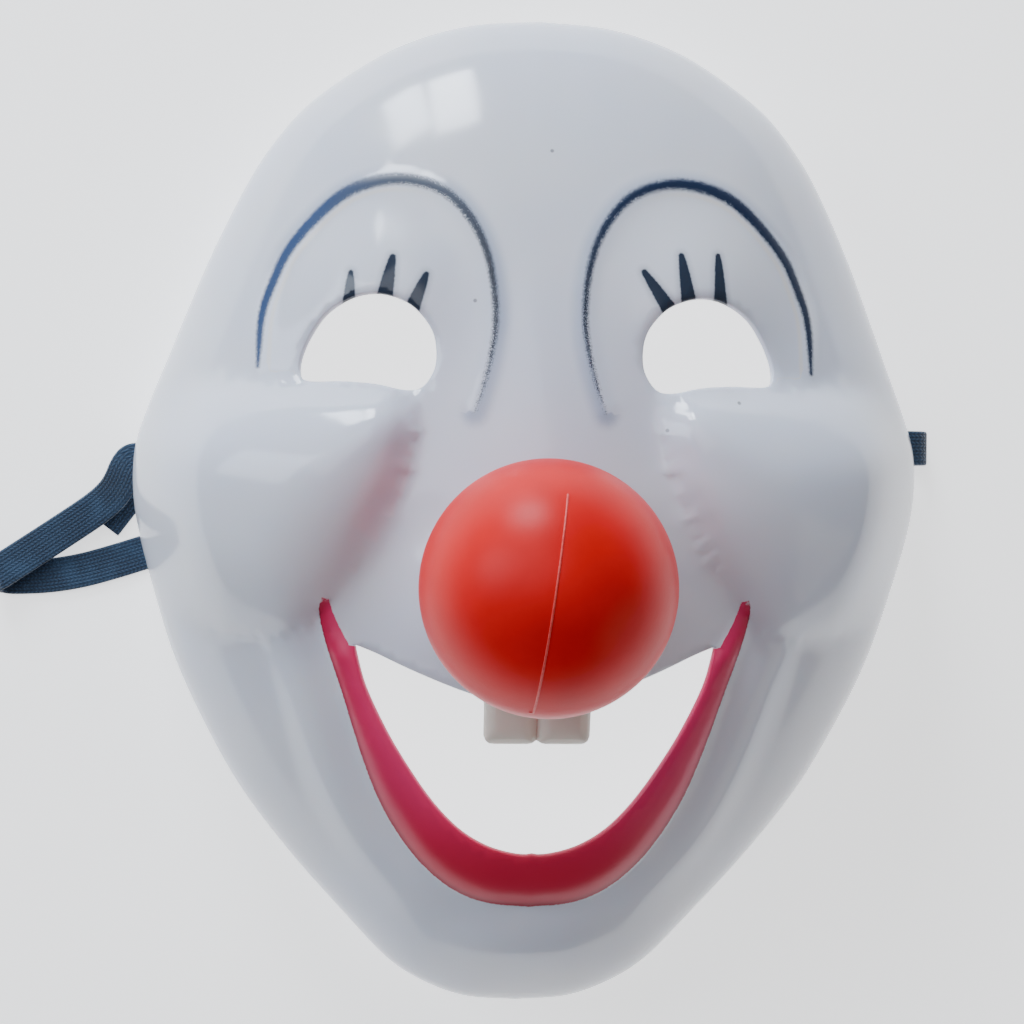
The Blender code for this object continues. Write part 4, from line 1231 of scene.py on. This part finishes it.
def painted_face():
    finish = Finish("painted white plastic")
    place = finish.place()
    parts = finish.node("ShaderNodeSeparateXYZ")
    finish.fill(parts.inputs[0], place)
    x, y = parts.outputs["X"], parts.outputs["Y"]
    right = finish.step(x, -0.004, 0.004)
    fine = finish.noise(place, 1400.0, detail=3.0, roughness=0.6)
    grain = finish.noise(place, 4200.0, detail=2.0)
    cloud = finish.noise(place, 22.0, detail=3.0)

    colour = finish.paint(finish.step(cloud, 0.3, 0.7), (0.68, 0.73, 0.85), (0.74, 0.77, 0.84))
    # The teeth are the same white plastic as the face. Their lighter cream colour is painted light: a warm
    # reflection and a brightening against the shade under the nose.
    tooth = finish.field("tooth")
    colour = finish.paint(finish.math("MULTIPLY", tooth, 0.9), colour, (0.84, 0.78, 0.66))

    names = ("brow_off", "brow_in", "brow_half", "brow_dry", "brow_run")
    off, inner, half, dry, run = (finish.field(name) for name in names)
    depth = finish.math("SUBTRACT", finish.shaken(half, fine, 0.7), off)
    painted = finish.step(depth, -0.45, 0.55)
    broken = finish.step(finish.math("SUBTRACT", grain, dry), 0.20, 0.40)
    painted = finish.math("MULTIPLY", painted, finish.step(depth, 0.2, 1.0, broken, 1.0))
    # The left brow is painted lighter and bluer than the right one: the same navy paint, with painted window
    # light from the left. Along each brow the tone also changes from its outer tip to its tail.
    lit_left_brow_tone = finish.paint(finish.step(run, 0.28, 0.50), (0.014, 0.048, 0.150), (0.030, 0.045, 0.082))
    lit_left_brow_tone = finish.paint(finish.step(run, 0.52, 0.75), lit_left_brow_tone, (0.016, 0.022, 0.040))
    dimmer_right_brow_tone = finish.paint(finish.step(run, 0.60, 0.85), (0.004, 0.015, 0.050), (0.014, 0.020, 0.036))
    navy = finish.paint(right, lit_left_brow_tone, dimmer_right_brow_tone)
    halo = finish.math("MULTIPLY", finish.step(off, 4.2, 0.8), finish.step(inner, 0.4, -0.4, 0.10, 0.50))
    halo = finish.math("MULTIPLY", halo, finish.step(run, 0.10, 0.25))
    colour = finish.paint(halo, colour, (0.16, 0.23, 0.40))
    # A pale warm line about 1.5 to 3 mm inside each brow, on the first part of the stroke, is a painted
    # reflection of the brow ridge's inner edge.
    pale = finish.math("MULTIPLY", finish.step(inner, 1.5, 2.2), finish.step(inner, 3.2, 2.4))
    pale = finish.math("MULTIPLY", pale, finish.step(run, 0.6, 0.4, 0.0, 0.5))
    colour = finish.paint(pale, colour, (0.80, 0.76, 0.70))
    colour = finish.paint(painted, colour, navy)

    for root, tip, half_width in LASHES:
        inside = finish.shaken(stroke(finish, place, root, tip, half_width), fine, 0.0004)
        soft = finish.math("MULTIPLY", finish.step(inside, -0.0016, 0.0002), 0.40)
        colour = finish.paint(soft, colour, (0.24, 0.27, 0.34))
        colour = finish.paint(finish.step(inside, -0.00028, 0.00018), colour, (0.022, 0.032, 0.055))

    lip_in, lip_across = finish.field("lip_in"), finish.field("lip_across")
    wavy = finish.shaken(lip_in, fine, 0.35)
    # The red is painted lighter towards the mouth and darker along the lip's outer edge: painted light and
    # shade over the roll of the lip. It is also darker towards the bottom.
    red = finish.paint(finish.step(lip_across, 0.10, 0.95), (0.56, 0.008, 0.075), (0.70, 0.030, 0.140))
    red = finish.paint(finish.step(y, -0.052, -0.080), red, (0.52, 0.004, 0.038))
    red = finish.paint(finish.step(lip_across, 0.14, 0.02, 0.0, 0.55), red, (0.22, 0.002, 0.020))
    lip = finish.step(wavy, -0.10, 0.10)
    colour = finish.paint(lip, colour, red)

    for sx, sy in SPECKS:
        away = finish.vector("DISTANCE", finish.vector("MULTIPLY", place, (1.0, 1.0, 0.0)), (sx, sy, 0.0))
        colour = finish.paint(finish.step(away, 0.00055, 0.00025, 0.0, 0.7), colour, (0.12, 0.12, 0.14))

    peel = finish.noise(place, 260.0, detail=2.0)
    bump = finish.bump(peel, 0.00012, 0.10)
    bump = finish.bump(painted, 0.00006, 0.6, bump)
    bump = finish.bump(lip, 0.00010, 0.5, bump)
    rough = finish.step(finish.noise(place, 90.0, detail=4.0), 0.3, 0.7, 0.10, 0.15)
    rough = finish.math("ADD", rough, finish.math("MULTIPLY", painted, 0.25))
    rough = finish.math("ADD", rough, finish.math("MULTIPLY", lip, 0.24))
    finish.set(Base_Color=colour, Roughness=rough, Normal=bump)
    finish.set(Subsurface_Weight=0.06, Subsurface_Scale=0.003)
    return finish


def bare_plastic():
    """The inside of the shell: the same plastic without gloss or paint."""
    finish = Finish("bare white plastic")
    place = finish.place()
    cloud = finish.noise(place, 30.0, detail=4.0)
    colour = finish.paint(finish.step(cloud, 0.3, 0.7), (0.70, 0.71, 0.74), (0.77, 0.78, 0.80))
    finish.set(Base_Color=colour, Roughness=0.42, Normal=finish.bump(finish.noise(place, 900.0), 0.0001, 0.3))
    return finish


face = new_piece("painted_face", shell_data, painted_face(), bare_plastic())
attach(face, "root")
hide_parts("face_shell")
print("face dressed")

# %% [markdown]
# The nose is a soft plastic ball, glued to a flat seat on the face. It is turned from one profile: a circle
# that stops at the seat. A ball moulded in two halves keeps a fine line where the halves met.

# %% Nose ball
FOOT_RADIUS = SEAT_RADIUS - 0.0005
BALL_RISE = math.sqrt(NOSE_RADIUS**2 - FOOT_RADIUS**2)   # from the flat foot to the ball's middle
BALL_MIDDLE = Vector((0.0, NOSE_Y, SEAT_LEVEL + GAP + BALL_RISE))
BALL_RADIUS = NOSE_RADIUS - 0.0001      # just inside the solid ball


def ball_mesh(around=144, up=90):
    foot = SEAT_LEVEL + GAP - BALL_MIDDLE.z
    low = math.asin(foot / BALL_RADIUS)
    rises = np.linspace(low, math.pi / 2, up)[:-1]
    rings = [(BALL_RADIUS * math.cos(a), BALL_RADIUS * math.sin(a)) for a in rises]
    turn = np.linspace(0.0, 2 * math.pi, around, endpoint=False)
    points = [(r * math.cos(a), r * math.sin(a), z) for r, z in rings for a in turn]
    points += [(0.0, 0.0, BALL_RADIUS), (0.0, 0.0, foot)]
    faces = [(j * around + i, j * around + (i + 1) % around, (j + 1) * around + (i + 1) % around,
              (j + 1) * around + i) for j in range(len(rings) - 1) for i in range(around)]
    top = (len(rings) - 1) * around
    faces += [(top + i, top + (i + 1) % around, len(points) - 2) for i in range(around)]
    faces += [((i + 1) % around, i, len(points) - 1) for i in range(around)]
    mesh = bpy.data.meshes.new("nose_ball")
    mesh.from_pydata([tuple(Vector(point) + BALL_MIDDLE) for point in points], [], faces)
    mesh.shade_smooth()
    mesh.set_sharp_from_angle(angle=math.radians(40))
    return mesh


def soft_red():
    finish = Finish("satin red plastic")
    place = finish.place()
    cloud = finish.noise(place, 60.0, detail=4.0)
    colour = finish.paint(finish.step(cloud, 0.3, 0.7), (0.60, 0.0004, 0.0016), (0.68, 0.0008, 0.0026))
    mottle = finish.noise(place, 1100.0, detail=3.0)
    finish.set(Base_Color=colour, Roughness=0.40, Normal=finish.bump(mottle, 0.00008, 0.25), IOR=1.30)
    return finish


nose = new_piece("red_nose", ball_mesh(), soft_red())
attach(nose, "root")
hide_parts("nose_ball")
print("nose dressed, middle at", [round(v, 4) for v in BALL_MIDDLE])

# %% [markdown]
# The line where the two halves of the ball met runs over its front as a thin ridge, with a small hook at its
# lower end. Geometry Nodes sweeps a round profile along the line, so its thickness is one number.

# %% Parting line
SEAM_PLANE = Vector((1.0, -0.137, 0.0205)).normalized()
SEAM_FROM, SEAM_TO = math.radians(43.5), math.radians(157.5)
SEAM_HALF = 0.00024
SEAM_HOOK = 0.0008


def seam_line(steps=90):
    """Points along the seam, on the plane that the halves met in, and then round the hook."""
    up = (Vector((0, 1, 0)) - SEAM_PLANE * SEAM_PLANE.y).normalized()
    front = SEAM_PLANE.cross(up)
    front = front if front.z > 0 else -front
    reach = BALL_RADIUS - 0.2 * SEAM_HALF
    line = [up * math.cos(a) + front * math.sin(a) for a in np.linspace(SEAM_FROM, SEAM_TO, steps)]
    side = Vector((-1, 0, 0))
    for share in (0.35, 0.7, 1.0):
        turn = SEAM_TO + 0.3 * share * SEAM_HOOK / reach
        place = up * math.cos(turn) + front * math.sin(turn) + side * share * SEAM_HOOK / reach
        line.append(place.normalized())
    return [BALL_MIDDLE + place.normalized() * reach for place in line]


def sweep_tree(material):
    """A node tree that turns the edges of a mesh into a round ridge."""
    tree = bpy.data.node_groups.new("ridge along a line", "GeometryNodeTree")
    tree.interface.new_socket("Line", in_out="INPUT", socket_type="NodeSocketGeometry")
    half = tree.interface.new_socket("Half width", in_out="INPUT", socket_type="NodeSocketFloat")
    tree.interface.new_socket("Ridge", in_out="OUTPUT", socket_type="NodeSocketGeometry")
    given, made = tree.nodes.new("NodeGroupInput"), tree.nodes.new("NodeGroupOutput")
    path = tree.nodes.new("GeometryNodeMeshToCurve")
    ring = tree.nodes.new("GeometryNodeCurvePrimitiveCircle")
    ring.inputs["Resolution"].default_value = 10
    sweep = tree.nodes.new("GeometryNodeCurveToMesh")
    sweep.inputs["Fill Caps"].default_value = True
    smooth = tree.nodes.new("GeometryNodeSetShadeSmooth")
    whole = tree.nodes.new("GeometryNodeRealizeInstances")
    paint = tree.nodes.new("GeometryNodeSetMaterial")
    paint.inputs["Material"].default_value = material
    chain = (given, path, sweep, smooth, whole, paint, made)
    for before, after in zip(chain, chain[1:]):
        tree.links.new(before.outputs[0], after.inputs[0])
    tree.links.new(given.outputs["Half width"], ring.inputs["Radius"])
    tree.links.new(ring.outputs["Curve"], sweep.inputs["Profile Curve"])
    return tree, half.identifier


def ridge(name, line, half, finish):
    """A finished piece: a thin ridge along a line of points."""
    path = bpy.data.meshes.new(name + "_line")
    path.from_pydata([tuple(place) for place in line], [(i, i + 1) for i in range(len(line) - 1)], [])
    guide = new_piece(name + "_guide", path)
    tree, width = sweep_tree(finish.material)
    sweep = guide.modifiers.new("ridge", "NODES")
    sweep.node_group = tree
    sweep[width] = half
    graph = bpy.context.evaluated_depsgraph_get()
    mesh = bpy.data.meshes.new_from_object(guide.evaluated_get(graph), depsgraph=graph)
    bpy.data.objects.remove(guide)
    mesh.name = name
    return new_piece(name, mesh)


def paler_red():
    finish = Finish("paler red at the seam")
    mottle = finish.noise(finish.place(), 1500.0, detail=3.0)
    colour = finish.paint(finish.step(mottle, 0.35, 0.65), (0.66, 0.030, 0.030), (0.74, 0.075, 0.065))
    finish.set(Base_Color=colour, Roughness=0.40, Normal=finish.bump(mottle, 0.00006, 0.4))
    return finish


seam = ridge("nose_seam", seam_line(), SEAM_HALF, paler_red())
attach(seam, "root")
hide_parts("nose_ball")
print("seam:", len(seam.data.polygons), "faces")

# %% [markdown]
# The picture was taken on a plain white surface, so the stage is a pale floor and a plain soft sky. Two
# soft window panes beyond the forehead give the long reflections on it.

# %% Stage
def stage_floor():
    finish = Finish("pale floor")
    place = finish.place()
    cloud = finish.noise(place, 8.0)
    tone = finish.paint(finish.step(cloud, 0.3, 0.7), (0.86, 0.86, 0.87), (0.88, 0.88, 0.88))
    finish.set(Base_Color=tone, Roughness=0.8, Emission_Color=(1.0, 1.0, 1.0, 1.0), Emission_Strength=1.3)
    mesh = bpy.data.meshes.new("floor")
    mesh.from_pydata([(-1.5, -1.5, 0), (1.5, -1.5, 0), (1.5, 1.5, 0), (-1.5, 1.5, 0)], [], [(0, 1, 2, 3)])
    floor = new_piece("floor", mesh, finish)
    return floor


def soft_light(name, toward, far, wide, high, watts, colour):
    """A flat light that faces the mask from a direction."""
    data = bpy.data.lights.new(name, "AREA")
    data.shape = "RECTANGLE"
    data.size, data.size_y = wide, high
    data.energy = watts
    data.color = colour
    light = bpy.data.objects.new(name, data)
    light.matrix_world = look(Vector(toward).normalized() * far + Vector((0, 0, 0.04)), Vector((0, 0, 0.04)),
                              Vector((0, 0, 1)))
    bpy.context.scene.collection.objects.link(light)
    return light


stage_floor()
soft_light("window_left_pane", (-0.37, 0.88, 0.30), 1.2, 0.19, 0.40, 6.5, (0.84, 0.91, 1.0))
soft_light("window_right_pane", (-0.20, 0.92, 0.33), 1.2, 0.19, 0.44, 8.5, (0.86, 0.92, 1.0))
soft_light("left_window", (-0.80, 0.35, 0.60), 1.3, 0.60, 0.60, 6.5, (0.80, 0.89, 1.0))
soft_light("ceiling", (-0.30, 0.45, 1.0), 1.5, 1.0, 1.0, 6.0, (0.93, 0.96, 1.0))
soft_light("room", (0.9, -0.5, 0.45), 1.4, 0.9, 0.7, 1.6, (1.0, 0.90, 0.78))
world = bpy.data.worlds.new("soft room")
world.use_nodes = True
world.node_tree.nodes["Background"].inputs["Color"].default_value = (0.78, 0.82, 0.90, 1.0)
world.node_tree.nodes["Background"].inputs["Strength"].default_value = 0.20
bpy.context.scene.world = world
print("stage set")
